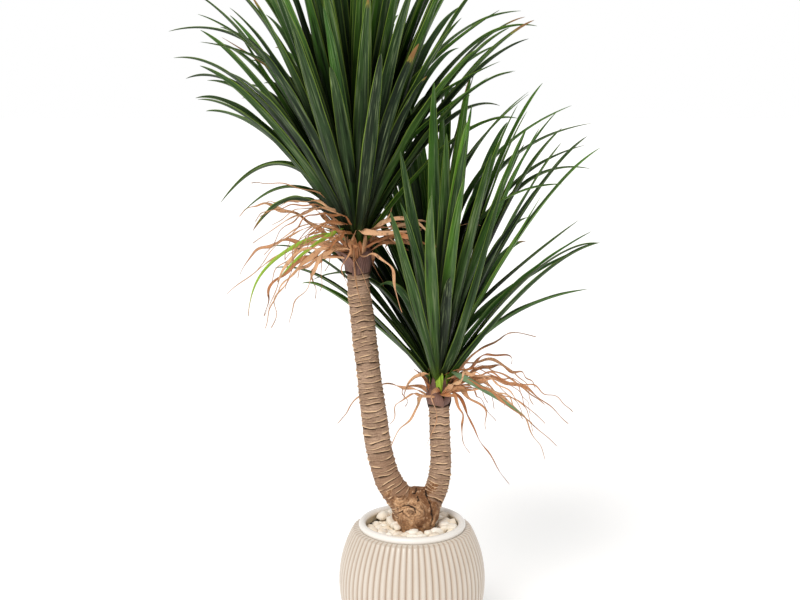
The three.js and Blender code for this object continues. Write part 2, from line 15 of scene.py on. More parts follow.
import bpy
import numpy as np
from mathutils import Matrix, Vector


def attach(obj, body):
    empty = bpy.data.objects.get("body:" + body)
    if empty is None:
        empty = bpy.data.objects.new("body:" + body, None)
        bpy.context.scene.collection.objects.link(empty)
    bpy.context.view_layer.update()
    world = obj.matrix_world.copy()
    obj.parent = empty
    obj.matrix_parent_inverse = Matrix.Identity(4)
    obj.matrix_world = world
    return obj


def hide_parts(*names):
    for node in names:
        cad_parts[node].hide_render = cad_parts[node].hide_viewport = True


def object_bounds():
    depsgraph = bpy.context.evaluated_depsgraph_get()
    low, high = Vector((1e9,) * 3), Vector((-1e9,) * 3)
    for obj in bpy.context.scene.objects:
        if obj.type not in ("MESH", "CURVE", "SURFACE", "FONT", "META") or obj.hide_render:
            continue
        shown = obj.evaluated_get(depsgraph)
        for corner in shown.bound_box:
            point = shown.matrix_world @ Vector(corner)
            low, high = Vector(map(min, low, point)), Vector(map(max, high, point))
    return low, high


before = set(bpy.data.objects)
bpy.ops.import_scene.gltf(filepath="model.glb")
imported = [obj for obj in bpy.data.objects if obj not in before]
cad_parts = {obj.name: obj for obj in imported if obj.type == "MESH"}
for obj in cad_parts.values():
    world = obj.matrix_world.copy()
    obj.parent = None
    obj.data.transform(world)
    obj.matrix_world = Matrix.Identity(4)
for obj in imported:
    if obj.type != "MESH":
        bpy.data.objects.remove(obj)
CAD_BOX = [list(corner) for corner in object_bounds()]
print("CAD nodes:", ", ".join(sorted(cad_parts)))
print("CAD box in metres:", [[round(value, 4) for value in corner] for corner in CAD_BOX])

# %% [markdown]
# ## Camera
# The camera stands 1.18 m up and 2.56 m in front of the plant. An unturned camera looks straight
# down, so a turn of 80 degrees makes it look 10 degrees down. A lens of 58.5 mm on a 36 mm film cuts
# off the pot's foot and the highest tips, as the picture does.

# %% Camera
CAMERA_PLACE = (-0.025, -2.5605, 1.184)
CAMERA_TILT = math.radians(80)
LENS = 58.5
FILM_WIDTH = 36.0

camera_data = bpy.data.cameras.new("camera")
camera_data.lens = LENS
camera_data.sensor_width = FILM_WIDTH
camera = bpy.data.objects.new("camera", camera_data)
camera.location = CAMERA_PLACE
camera.rotation_euler = (CAMERA_TILT, 0.0, 0.0)
scene = bpy.context.scene
scene.collection.objects.link(camera)
scene.camera = camera
print("camera at", CAMERA_PLACE, "with a lens of", LENS, "mm")

# %% [markdown]
# ## Light and floor
# A product picture on white has even, soft light: a bright surround, and one broad key lamp from
# the upper left. A sun lamp with a wide angle has soft shadows and falls evenly on the whole floor.
# The surround that the camera sees is full white, and the one that lights the plant is dimmer, which
# keeps the shaded sides deep. The standard view transform adds no film curve.

# %% Light and floor
SURROUND = 0.68
KEY_STRENGTH = 1.7
KEY_SOFTNESS = math.radians(28)
KEY_COLOUR = (1.0, 0.985, 0.96)
KEY_TURN = (math.radians(38), math.radians(-24), 0.0)
WHITE = (1.0, 1.0, 1.0, 1.0)

scene.view_settings.view_transform = "Standard"
world = bpy.data.worlds.new("white_surround")
world.use_nodes = True
scene.world = world
sky = world.node_tree
surround = sky.nodes["Background"]
backdrop = sky.nodes.new("ShaderNodeBackground")
for background, strength in ((surround, SURROUND), (backdrop, 1.0)):
    background.inputs["Color"].default_value = WHITE
    background.inputs["Strength"].default_value = strength
path = sky.nodes.new("ShaderNodeLightPath")
choice = sky.nodes.new("ShaderNodeMixShader")
sky.links.new(path.outputs["Is Camera Ray"], choice.inputs[0])
sky.links.new(surround.outputs[0], choice.inputs[1])
sky.links.new(backdrop.outputs[0], choice.inputs[2])
sky.links.new(choice.outputs[0], sky.nodes["World Output"].inputs["Surface"])

key = bpy.data.lights.new("key", "SUN")
key.energy = KEY_STRENGTH
key.angle = KEY_SOFTNESS
key.color = KEY_COLOUR
key_lamp = bpy.data.objects.new("key", key)
key_lamp.rotation_euler = KEY_TURN
scene.collection.objects.link(key_lamp)
print("surround", SURROUND, "and key", KEY_STRENGTH)

# %% [markdown]
# ## Finishes
# Every material is built by one small helper: each call adds a node, sets or links its inputs, and
# gives back its output. Colours run from 0 to 255 and are turned into linear values.

# %% Helpers for materials
def paint(red, green, blue):
    """A colour from 0 to 255 as linear light: ((c + 0.055) / 1.055)^2.4, or c / 12.92 where dark."""
    chart = np.array([red, green, blue]) / 255
    linear = np.where(chart <= 0.04045, chart / 12.92, ((chart + 0.055) / 1.055) ** 2.4)
    return (*(float(value) for value in linear), 1.0)


class Finish:
    """A material in the making. Each method adds one node and returns what it gives."""

    def __init__(self, name):
        self.material = bpy.data.materials.new(name)
        self.material.use_nodes = True
        self.tree = self.material.node_tree
        self.shader = self.tree.nodes["Principled BSDF"]

    def add(self, kind, inputs=(), output=0, **settings):
        """Adds a node, sets it, feeds its inputs and returns one of its outputs."""
        node = self.tree.nodes.new("ShaderNode" + kind)
        for name, value in settings.items():
            setattr(node, name, value)
        for name, value in dict(inputs).items():
            self.feed(node.inputs[name], value)
        return node.outputs[output]

    def feed(self, socket, value):
        """Links a socket to another node's output, or sets it to a plain value."""
        if isinstance(value, bpy.types.NodeSocket):
            self.tree.links.new(value, socket)
        else:
            socket.default_value = value

    def set(self, **values):
        """Feeds the shader's own sockets, by the names in NAMED_SOCKETS, and ends the making."""
        for name, value in values.items():
            self.feed(self.shader.inputs[NAMED_SOCKETS[name]], value)
        return self.material

    def values(self, *attributes):
        """Numbers that the mesh holds for each point."""
        return [self.add("Attribute", output=2, attribute_name=name) for name in attributes]

    def place(self):
        """Object coordinates."""
        return self.add("TexCoord", output=3)

    def stretched(self, scale, source=None):
        """Object coordinates, or another vector, scaled along each axis."""
        vector = self.place() if source is None else source
        return self.add("Mapping", {"Vector": vector, "Scale": scale})

    def noise(self, scale, detail=3.0, vector=None, roughness=0.55):
        vector = self.place() if vector is None else vector
        inputs = {"Vector": vector, "Scale": scale, "Detail": detail, "Roughness": roughness}
        return self.add("TexNoise", inputs)

    def math(self, operation, first, second=0.0, third=0.0):
        return self.add("Math", {0: first, 1: second, 2: third}, operation=operation)

    def span(self, value, low, high, to_low=0.0, to_high=1.0, smooth=False):
        """A value's range from low to high, stretched to another and clamped there."""
        kind = "SMOOTHSTEP" if smooth else "LINEAR"
        inputs = {0: value, 1: low, 2: high, 3: to_low, 4: to_high}
        return self.add("MapRange", inputs, interpolation_type=kind)

    def mix(self, share, first, second):
        """Two colours, as paint chart triples or other nodes' outputs, mixed by a share."""
        inputs = {0: share, 6: self.as_light(first), 7: self.as_light(second)}
        return self.add("Mix", inputs, output=2, data_type="RGBA", blend_type="MIX")

    def as_light(self, colour):
        return paint(*colour) if isinstance(colour, tuple) else colour

    def layers(self, base, rows):
        """Lays colours over a base, one after the other. Each row has a value, where the layer
        starts and where it is full, its greatest share there, and its colour."""
        for value, start, full, most, colour in rows:
            base = self.mix(self.span(value, start, full, 0, most), base, colour)
        return base

    def bump(self, height, distance, strength=1.0, under=None):
        inputs = {"Height": height, "Distance": distance, "Strength": strength}
        if under is not None:
            inputs["Normal"] = under
        return self.add("Bump", inputs)


NAMED_SOCKETS = {
    "colour": "Base Color", "roughness": "Roughness", "normal": "Normal", "coat": "Coat Weight",
    "coat_roughness": "Coat Roughness", "sheen": "Sheen Weight", "shine": "Specular IOR Level",
    "glow": "Emission Strength", "glow_colour": "Emission Color",
}
print("a mid grey of 128 is", round(paint(128, 128, 128)[0], 3), "in linear light")

# %% [markdown]
# ## From numbers to meshes
# Nearly everything here is a grid of points that wraps round: a pot wall, a cane, a blade. Each
# shape is one numpy array of rows × columns × 3, and many like shapes, such as the blades of a head,
# have a further axis in front. One function makes the faces and another the mesh.

# %% Helpers for meshes
MM = 0.001


def tube_faces(copies, rows, around):
    """Faces of closed tubes, each given as rows of points that wrap round and then two poles.

    Point (copy, row, column) has the number copy·(rows·around + 2) + row·around + column.
    """
    size = rows * around + 2
    row, column = np.meshgrid(np.arange(rows - 1), np.arange(around), indexing="ij")
    here = row * around + column
    beside = row * around + (column + 1) % around
    quads = np.stack([here, beside, beside + around, here + around], axis=-1).reshape(-1, 4)
    turn = np.arange(around)
    turned = (turn + 1) % around
    last = (rows - 1) * around
    foot = np.stack([turned, turn, np.full(around, size - 2)], axis=-1)
    top = np.stack([last + turn, last + turned, np.full(around, size - 1)], axis=-1)
    triangles = np.concatenate([foot, top])
    starts = np.arange(copies)[:, None, None] * size
    return (starts + quads).reshape(-1, 4), (starts + triangles).reshape(-1, 3)


def tube_points(rings, foot, top):
    """The points that tube_faces numbers: rings (copies, rows, around, 3) and poles (copies, 3)."""
    copies = rings.shape[0]
    flat = rings.reshape(copies, -1, rings.shape[-1])
    return np.concatenate([flat, foot[:, None], top[:, None]], axis=1).reshape(-1, rings.shape[-1])


def new_mesh(name, points, faces, values):
    """A smooth mesh from points in millimetres, arrays of faces, and a number per point by name."""
    mesh = bpy.data.meshes.new(name)
    corners = np.concatenate([group.ravel() for group in faces])
    sizes = np.concatenate([np.full(len(group), group.shape[1]) for group in faces])
    starts = np.concatenate([[0], np.cumsum(sizes)[:-1]])
    mesh.vertices.add(len(points))
    mesh.vertices.foreach_set("co", (np.asarray(points) * MM).ravel())
    mesh.loops.add(len(corners))
    mesh.loops.foreach_set("vertex_index", corners.astype(np.int32))
    mesh.polygons.add(len(sizes))
    mesh.polygons.foreach_set("loop_start", starts.astype(np.int32))
    mesh.polygons.foreach_set("loop_total", sizes.astype(np.int32))
    mesh.update(calc_edges=True)
    mesh.shade_smooth()
    for title, numbers in values.items():
        attribute = mesh.attributes.new(title, "FLOAT", "POINT")
        attribute.data.foreach_set("value", np.asarray(numbers, np.float32).ravel())
    if mesh.validate():
        print("mended faces of", name)
    return mesh


def new_piece(name, points, faces, values, finish, slot, *nodes):
    """A piece of the plant or its pot, in the place of one or more CAD nodes."""
    piece = bpy.data.objects.new(name, new_mesh(name, points, faces, values))
    scene.collection.objects.link(piece)
    piece.data.materials.append(finish)
    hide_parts(*nodes)
    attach(piece, "root")
    triangles = sum(len(group) * (group.shape[1] - 2) for group in faces)
    size = np.ptp(np.asarray(points), axis=0).round(1).tolist()
    print(name, "has", triangles, "triangles and measures", size, "mm")
    return piece


def unit(vectors):
    """Vectors of the same directions and the length 1."""
    return vectors / np.linalg.norm(vectors, axis=-1, keepdims=True)


def smooth_step(value, low, high):
    """0 below low, 1 above high, and 3s² - 2s³ between them."""
    share = np.clip((value - low) / (high - low), 0, 1)
    return share * share * (3 - 2 * share)


def mixed(first, second, share):
    """The first at share 0, the second at share 1, and evenly between them."""
    return first + (second - first) * share


def any_turn(chance, size=None):
    """Drawn angles, anywhere in a full turn."""
    return chance.uniform(0, 6.28, size)


# %% [markdown]
# ## The floor
# A plain pale floor, so wide that its edge is lost in the surround.

# %% Floor
FLOOR_HALF = 30000.0

floor_corners = np.array([[-1, -1, 0], [1, -1, 0], [1, 1, 0], [-1, 1, 0]]) * FLOOR_HALF
floor_mesh = new_mesh("floor", floor_corners, [np.array([[0, 1, 2, 3]])], {})
floor = bpy.data.objects.new("floor", floor_mesh)
scene.collection.objects.link(floor)
floor_finish = Finish("pale_floor")
floor.data.materials.append(floor_finish.set(
    colour=paint(250, 249, 248), roughness=0.9, shine=0.1, glow_colour=paint(255, 255, 255), glow=0.2))

# %% [markdown]
# ## The pot
# A globe planter of cream ceramic with a satin glaze. Its outer wall is an ellipse turned round the
# upright axis and pressed into 68 rounded ribs, and the rim is a smooth roll. A lathe profile alone
# has no ribs, and a ribbed profile alone has no belly, so the wall is a grid over both: the height
# along the profile sets the radius, and the angle sets how deep the point lies in its groove.

# %% Pot outline
POT = {
    "belt_height": 146, "belt_radius": 151, "belt_rise": 188, "base_radius": 93, "foot_height": 6,
    "ribs": 68, "rib_depth": 4.2, "rib_foot": 12, "wall": 11, "floor": 14,
    "rim_radius": 102.5, "rim_height": 264.5, "rim_tube": 7.5,
}
RIB_COLUMNS = 12
ROLL_POINTS = 25


def wall_radius(height):
    """The globe's outer radius: belt radius × sqrt(1 - ((height - belt height) / rise)²)."""
    share = (height - POT["belt_height"]) / POT["belt_rise"]
    return POT["belt_radius"] * np.sqrt(1 - share**2)


def pot_outline():
    """Radius and height along the pot's section, from the middle of its base, up the wall,
    over the rim and down inside. Also the number of the rim's first point."""
    wall_heights = np.concatenate([
        np.linspace(POT["foot_height"] + 3, 30, 7),
        np.linspace(34, 232, 26),
        np.linspace(236, 256, 14),
    ])
    wall = np.stack([wall_radius(wall_heights), wall_heights], axis=1)
    foot = np.array([
        [40, 0.8], [80, 0.8], [86, 0.0], [POT["base_radius"] - 1.5, 0.0], [POT["base_radius"], 1.4],
        [POT["base_radius"] + 0.6, POT["foot_height"] - 1.0],
        [wall_radius(POT["foot_height"]) - 3.0, POT["foot_height"]],
    ])
    turn = np.radians(np.linspace(-62, 216, ROLL_POINTS))
    rim = np.stack([
        POT["rim_radius"] + POT["rim_tube"] * np.cos(turn),
        POT["rim_height"] + POT["rim_tube"] * np.sin(turn),
    ], axis=1)
    neck = np.array([
        [119.6, 257.2], [117.4, 257.9], [114.8, 258.5], [112.0, 258.9], [108.4, 259.0], [106.4, 258.2],
    ])
    inside_heights = np.array([252, 246, 232, 210, 180, 146, 110, 74, 40, 24])
    inside_radius = np.minimum(wall_radius(inside_heights) - POT["wall"], 125)
    inside_radius[0] = POT["rim_radius"] - POT["rim_tube"]
    inside_radius[1] = 110
    inside = np.stack([inside_radius, inside_heights], axis=1)
    floor_ring = np.array([[inside_radius[-1] - 8, POT["floor"] + 1.0], [60, POT["floor"]]])
    whole = np.concatenate([foot, wall, neck, rim, inside, floor_ring])
    return whole, len(foot) + len(wall) + len(neck)


outline, rim_start = pot_outline()
print("the pot's outline has", len(outline), "points")

# %% [markdown]
# Across a rib the wall is a flattened arch, and the arches meet in sharp grooves. Each groove ends
# in a half circle before the rim and over the foot, as if a round tool had drawn it.

# %% Pot ribs
RIB_SQUARENESS = 2.5
GROOVE_END, SHOULDER_GAP = 9, 4
CROWDING = 0.07


def groove_depth(angle, height, to_rim):
    """How deep a point lies in its groove, from 0 on a rib to 1 at the bottom.

    Across a rib, x runs from -1 to 1 and the depth is 1 - (1 - |x|^2.5)^0.5. Each groove ends in a
    half circle: on the shoulder, by the way left to the rim, and over the foot.
    """
    across = 2 * (angle * POT["ribs"] / (2 * math.pi) % 1) - 1
    rib = 1 - np.sqrt(np.clip(1 - np.abs(across) ** RIB_SQUARENESS, 0, 1))
    reach = (1 - np.abs(across)) * GROOVE_END
    upper = smooth_step(to_rim - SHOULDER_GAP - reach, 0.0, 3.0)
    lower = smooth_step(height - POT["rib_foot"] - reach, 0.0, 4.0)
    return rib * upper * lower


def rib_angles():
    """The angles of the columns: closer together near each groove, where the wall curves most."""
    share = (np.arange(RIB_COLUMNS) + 0.5) / RIB_COLUMNS
    spread = share - CROWDING * np.sin(2 * math.pi * share)
    period = 2 * math.pi / POT["ribs"]
    return (np.arange(POT["ribs"])[:, None] * period + spread * period).ravel()


angles = rib_angles()
height = outline[:, 1:]
steps = np.linalg.norm(np.diff(outline[: rim_start + 1], axis=0), axis=1)
to_rim = np.zeros_like(height)
to_rim[:rim_start, 0] = np.cumsum(steps[::-1])[::-1]
depth = groove_depth(angles[None, :], height, to_rim)
pot_radius = outline[:, :1] - POT["rib_depth"] * depth
pot_rings = np.stack([
    pot_radius * np.cos(angles), pot_radius * np.sin(angles), np.broadcast_to(height, depth.shape),
], axis=-1)
pot_points = tube_points(pot_rings[None], np.array([[0, 0, 0.8]]), np.array([[0, 0, POT["floor"]]]))
row = np.arange(len(outline))[:, None] * np.ones_like(depth)
rim_share = smooth_step(row, rim_start - 1, rim_start)
# How far a point lies on the inner wall, which is given a painted shade.
inside_shade_share = smooth_step(row, rim_start + 18, rim_start + ROLL_POINTS - 1)
print("ribs:", POT["ribs"], "with grooves", POT["rib_depth"], "mm deep")

# %% [markdown]
# The glaze is a warm cream on the ribs. The grooves are painted tan as painted shade, and the groove
# value that shaped the wall also mixes the two colours, so the painted shade follows the form. The
# inner wall is painted a darker beige, also painted shade. The rolled rim is cooler, whiter and
# glossier.

# %% Cream glaze
def cream_glaze():
    finish = Finish("cream_glaze")
    groove, rim, inside = finish.values("groove", "rim", "inside")
    clouds = finish.noise(18, 4)
    specks = finish.noise(420, 2)
    cream = finish.mix(clouds, (208, 197, 183), (221, 212, 200))
    cream = finish.mix(rim, cream, (238, 233, 226))
    # The darker beige of the inner wall is painted shade.
    cream = finish.mix(inside, cream, (206, 192, 166))
    # The tan in the grooves is painted shade, spread over each groove by its depth.
    shaded = finish.math("POWER", groove, 0.62)
    colour = finish.mix(shaded, cream, (166, 138, 112))
    colour = finish.mix(finish.span(specks, 0.66, 0.74, 0, 0.25), colour, (196, 174, 146))
    roughness = finish.math("MULTIPLY_ADD", clouds, 0.12, 0.30)
    roughness = finish.math("MULTIPLY_ADD", rim, -0.12, roughness)
    bump = finish.bump(finish.noise(160, 3), 0.0004, 0.35)
    return finish.set(colour=colour, roughness=roughness, normal=bump, coat=0.25, coat_roughness=0.18)


pot_values = {
    "groove": np.concatenate([depth.ravel(), [0, 0]]),
    "rim": np.concatenate([rim_share.ravel(), [1, 1]]),
    "inside": np.concatenate([inside_shade_share.ravel(), [1, 1]]),
}
new_piece("ribbed_pot", pot_points, tube_faces(1, *depth.shape), pot_values, cream_glaze(), "pot", "pot")

# %% [markdown]
# ## Soil
# The soil fills the pot under the pebbles and holds the stump. It shows only as dark gaps between
# the stones, so its CAD solid stays and gets a crumbly brown finish.

# %% Dark soil
def dark_soil():
    finish = Finish("dark_soil")
    crumbs = finish.noise(260, 6, roughness=0.7)
    colour = finish.mix(crumbs, (38, 27, 19), (92, 68, 50))
    bump = finish.bump(crumbs, 0.003, 0.8)
    return finish.set(colour=colour, roughness=0.95, normal=bump, shine=0.2)


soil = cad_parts["soil"]
soil.data.materials.clear()
soil.data.materials.append(dark_soil())
print("soil keeps its CAD solid, with", len(soil.data.polygons), "faces")

# %% [markdown]
# ## Pebbles
# Cream-white river pebbles, 17 to 46 mm long, lie two or three deep round the stump. A physics
# simulation gives another heap each time a number changes. Instead each pebble is a ball, and some
# rounds of pushing overlapping balls apart and letting them sink settle the heap. Then each ball's
# place gets a flattened, dented stone of its own.

# %% Settle the heap
STUMP_X = 8.0
PEBBLES = {
    "count": 370, "seed": 12, "drop": (242, 272), "heap": 94,
    "floor": 236.6, "inner": 36.0, "outer": 93.5, "neck": 94.4, "top": 270.0,
}
ROUNDS, TOUCH, PUSH, SINK = 260, 0.86, 0.45, 0.35
FROM_STUMP, FROM_WALL, FROM_FLOOR = 0.72, 0.6, 0.62


def settle_pebbles():
    """Centres and radii of balls in the ring between the stump and the pot's neck.

    Each round moves overlapping balls apart by nearly half of their overlap each, lets every ball
    sink a little, and pushes it back inside the ring, whose middle goes from the stump's axis over
    to the pot's own as the reach grows.
    """
    chance = np.random.default_rng(PEBBLES["seed"])
    count = PEBBLES["count"]
    size = chance.uniform(8.8, 14.2, count) * chance.choice([1, 1.2], count, p=[0.8, 0.2])
    angle = chance.uniform(0, 2 * math.pi, count)
    reach = np.sqrt(chance.uniform(PEBBLES["inner"] ** 2, PEBBLES["outer"] ** 2, count))
    centre = np.stack([
        STUMP_X * (1 - reach / PEBBLES["heap"]) + reach * np.cos(angle), reach * np.sin(angle),
        chance.uniform(*PEBBLES["drop"], count),
    ], axis=1)
    for _ in range(ROUNDS):
        apart = centre[:, None] - centre[None]
        distance = np.linalg.norm(apart, axis=2) + 1e-6
        lap = np.clip(TOUCH * (size[:, None] + size[None]) - distance, 0, None)
        np.fill_diagonal(lap, 0)
        centre += PUSH * (apart / distance[..., None] * lap[..., None]).sum(axis=1)
        centre[:, 2] -= SINK
        from_stump = centre[:, :2] - [STUMP_X, 0]
        near = np.linalg.norm(from_stump, axis=1)
        push = np.clip(PEBBLES["inner"] + FROM_STUMP * size - near, 0, None)
        centre[:, :2] += from_stump / near[:, None] * push[:, None]
        from_axis = np.linalg.norm(centre[:, :2], axis=1)
        inward = np.clip(from_axis + FROM_WALL * size - PEBBLES["outer"], 0, None)
        centre[:, :2] -= centre[:, :2] / from_axis[:, None] * inward[:, None]
        centre[:, 2] = np.maximum(centre[:, 2], PEBBLES["floor"] + FROM_FLOOR * size)
    return centre, size


pebble_centres, pebble_sizes = settle_pebbles()
in_pot = pebble_centres[:, 2] + FROM_WALL * pebble_sizes < PEBBLES["top"]
pebble_centres = pebble_centres[in_pot]
pebble_sizes = pebble_sizes[in_pot]
print(len(pebble_sizes), "balls with their middles up to", pebble_centres[:, 2].max().round(1), "mm high")

# %% [markdown]
# A river stone is a ball that water has worn flat and uneven. A cube with a displace modifier makes
# one at a time. Here one array holds the points of all of them, on a grid of five circles of
# latitude and twelve columns.

# %% Shape the stones
STONE_ROWS, STONE_COLUMNS = 5, 12


def turned_about(axes, angles):
    """Rotation matrices about unit axes: I + sin(a) K + (1 - cos(a)) K², with K the cross product."""
    x, y, z = axes.T
    zero = np.zeros_like(x)
    cross = np.stack([zero, -z, y, z, zero, -x, -y, x, zero], axis=1).reshape(-1, 3, 3)
    sine = np.sin(angles)[:, None, None]
    cosine = np.cos(angles)[:, None, None]
    return np.eye(3) + sine * cross + (1 - cosine) * cross @ cross


def stones(centres, sizes, seed):
    """Stones on a grid of latitude and longitude.

    Each is a ball dented by three slow waves, 1 + sum of a·sin(direction·k + phase), drawn out to
    its own three half widths, turned its own way and moved to its place.
    """
    chance = np.random.default_rng(seed)
    count = len(sizes)
    latitude = np.radians(np.linspace(-68, 68, STONE_ROWS))[:, None]
    longitude = np.linspace(0, 2 * math.pi, STONE_COLUMNS, endpoint=False)[None]
    ball = np.stack([
        np.cos(latitude) * np.cos(longitude), np.cos(latitude) * np.sin(longitude),
        np.sin(latitude) + 0 * longitude,
    ], axis=-1)
    poles = np.array([[0, 0, -1.0], [0, 0, 1.0]])
    directions = np.concatenate([ball.reshape(-1, 3), poles])[None]
    dents = np.ones((count, directions.shape[1]))
    for slow in (1.3, 2.1, 3.0):
        wave = chance.normal(size=(count, 3)) * slow
        phase = any_turn(chance, (count, 1))
        dents += 0.22 / slow * np.sin(np.einsum("npk,nk->np", directions.repeat(count, 0), wave) + phase)
    length = chance.uniform(1.0, 1.45, count)
    width = chance.uniform(0.85, 1.05, count)
    thickness = chance.uniform(0.62, 0.85, count)
    half = sizes[:, None] * np.stack([length, width, thickness], axis=1)
    shaped = directions * dents[..., None] * half[:, None]
    way = any_turn(chance, count)
    lean = np.stack([np.cos(way), np.sin(way), 0 * way], axis=1)
    flat_turn = turned_about(np.tile([0, 0, 1.0], (count, 1)), any_turn(chance, count))
    tilt = turned_about(lean, chance.normal(0, 0.45, count))
    placed = np.einsum("nij,njk,npk->npi", tilt, flat_turn, shaped) + centres[:, None]
    return placed, chance.uniform(0, 1, count)


stone_points, stone_tones = stones(pebble_centres, pebble_sizes, 5)
stone_points[..., 2] = np.clip(stone_points[..., 2], PEBBLES["floor"], PEBBLES["top"])
stone_reach = np.hypot(stone_points[..., 0], stone_points[..., 1])
stone_points[..., :2] *= np.minimum(1, PEBBLES["neck"] / stone_reach)[..., None]
stone_spans = np.linalg.norm(stone_points[:, :, None] - stone_points[:, None], axis=-1).max(axis=(1, 2))
print("stones measure", stone_spans.min().round(), "to", stone_spans.max().round(), "mm")

# %% [markdown]
# The stones are cream to white, each with a tone of its own, whitish clouds and a few tan veins.

# %% Cream pebbles
def cream_pebbles():
    finish = Finish("cream_pebbles")
    tone, = finish.values("tone")
    veins = finish.noise(60, 5, roughness=0.65)
    base = finish.mix(tone, (253, 246, 233), (243, 228, 206))
    colour = finish.mix(finish.span(veins, 0.45, 0.7, 0, 0.6), base, (252, 250, 244))
    colour = finish.mix(finish.span(veins, 0.28, 0.40, 0.3, 0.0), colour, (210, 182, 142))
    bump = finish.bump(finish.noise(240, 4), 0.0008, 0.4)
    return finish.set(colour=colour, roughness=0.5, normal=bump)


stone_values = {"tone": np.repeat(stone_tones, stone_points.shape[1])}
new_piece("pebbles_heap", stone_points.reshape(-1, 3),
          tube_faces(len(stone_tones), STONE_ROWS, STONE_COLUMNS),
          stone_values, cream_pebbles(), "pebbles", "pebbles")

# %% [markdown]
# ## The canes
# A yucca cane grows by dropping its lowest leaves. Each lost leaf leaves a scar that runs round the
# cane as a thin raised lip. The lips lie about a centimetre apart, closer near the cane's foot, and
# waver, fade and run into each other. Stripes of colour would look printed on at the outline, so the
# lips are real: every row of the cane's grid follows a scar line or lies at a fixed share of the way
# to the next one, and the lip is a bump in the radius.

# %% The canes' middle lines
CANES = {
    "tall": {
        "line": [[4, 0, 268], [-22, -3, 318], [-50, -6, 362], [-67, -9, 425], [-84, -16, 554],
                 [-97, -24, 675], [-106, -31, 760], [-108, -33, 795]],
        "foot_radius": 29, "top_radius": 22.5, "seed": 21,
    },
    "short": {
        "line": [[12, 0, 268], [34, 4, 304], [51, 9, 340], [58, 13, 385], [57, 17, 450], [54, 20, 512]],
        "foot_radius": 25, "top_radius": 20.5, "seed": 22,
    },
}


def curve_through(line, samples=60):
    """A smooth curve through points, with end slopes weighed by the square roots of the
    distances, so that it doesn't overshoot."""
    points = np.array(line, float)
    ends = np.concatenate([[2 * points[0] - points[1]], points, [2 * points[-1] - points[-2]]])
    before, start, end, after = ends[:-3], ends[1:-2], ends[2:-1], ends[3:]
    d0, d1, d2 = (np.linalg.norm(b - a, axis=1, keepdims=True) ** 0.5
                  for a, b in ((before, start), (start, end), (end, after)))
    leave = d1 * ((start - before) / d0 - (end - before) / (d0 + d1) + (end - start) / d1)
    arrive = d1 * ((end - start) / d1 - (after - start) / (d1 + d2) + (after - end) / d2)
    t = np.linspace(0, 1, samples, endpoint=False)[None, :, None]
    start, end, leave, arrive = (a[:, None] for a in (start, end, leave, arrive))
    cubic = (start + leave * t + (3 * (end - start) - 2 * leave - arrive) * t**2
             + (2 * (start - end) + leave + arrive) * t**3)
    return np.concatenate([cubic.reshape(-1, 3), points[-1:]])


def along_curve(curve, runs):
    """Points and directions at the given distances along a curve, by linear steps between its points."""
    steps = np.linalg.norm(np.diff(curve, axis=0), axis=1)
    run = np.concatenate([[0], np.cumsum(steps)])
    place = np.stack([np.interp(runs, run, curve[:, axis]) for axis in range(3)], axis=-1)
    slopes = unit(np.gradient(curve, run, axis=0))
    heading = np.stack([np.interp(runs, run, slopes[:, axis]) for axis in range(3)], axis=-1)
    return place, unit(heading), run[-1]


for name, cane in CANES.items():
    cane["curve"] = curve_through(cane["line"])
    cane["length"] = along_curve(cane["curve"], 0.0)[2]
    print(name, "cane is", cane["length"].round(1), "mm long")

# %% Scar lines and the bark between them
SCAR_PITCH = 12.2
CANE_COLUMNS = 128
LIP_STEPS = [0.0, 0.05, 0.13, 0.26, 0.45, 0.65, 0.82, 0.93]
LIP_HEIGHTS = [1.55, 1.25, 0.55, 0.15, 0.0, -0.1, -0.35, -0.85]
STRAY_WAVES = [2.2, 1.7, 1.2, 0.7, 0.4, 0.25, 0.2, 0.15, 0.12]
STRENGTH_WAVES = [0.3, 0.4, 0.4, 0.35, 0.3, 0.25, 0.25, 0.2, 0.2]
LEAST_GAP = 3.4
NUB_RARITY = 60


def ripple(angles, amounts, phases):
    """A sum of waves round the cane: amount·sin(number·angle + phase) for the numbers 1, 2, 3, ..."""
    numbers = np.arange(1, amounts.shape[-1] + 1)
    waves = np.sin(numbers[None, :, None] * angles[None, None] + phases[..., None])
    return (amounts[..., None] * waves).sum(axis=1)


def drawn_ripples(chance, angles, count, most):
    """A ripple for each of some lines, each wave with a drawn share of its greatest amount."""
    amounts = np.array(most) * chance.uniform(0.3, 1.0, (count, len(most)))
    return ripple(angles, amounts, any_turn(chance, amounts.shape))


def scar_lines(length, seed):
    """Distances along the cane of every scar line round it, and how strong its lip is there.

    Each gap is the pitch times a drawn share, less at the cane's foot, and each line strays by a
    ripple. A gap never falls under a few millimetres, so lines run together but don't cross.
    """
    chance = np.random.default_rng(seed)
    count = int(length / SCAR_PITCH * 1.12)
    angle = np.linspace(0, 2 * math.pi, CANE_COLUMNS, endpoint=False)
    stray = drawn_ripples(chance, angle, count, STRAY_WAVES)
    up_cane = np.arange(count)[:, None] / count
    pitch = SCAR_PITCH * chance.uniform(0.55, 1.45, (count, 1))
    pitch = pitch * mixed(0.62, 1.0, smooth_step(up_cane, 0.05, 0.3))
    gaps = np.maximum(pitch + np.diff(stray, axis=0, prepend=0), LEAST_GAP)
    lines = np.cumsum(gaps, axis=0)
    lines *= length / (lines[-1:] + SCAR_PITCH)
    lines = np.concatenate([np.zeros((1, CANE_COLUMNS)), lines])
    strength = 0.85 + drawn_ripples(chance, angle, count + 1, STRENGTH_WAVES)
    nubs = chance.uniform(0, 1, (count + 1, CANE_COLUMNS)) ** NUB_RARITY
    return angle, lines, np.clip(strength, 0.0, 1.5), nubs


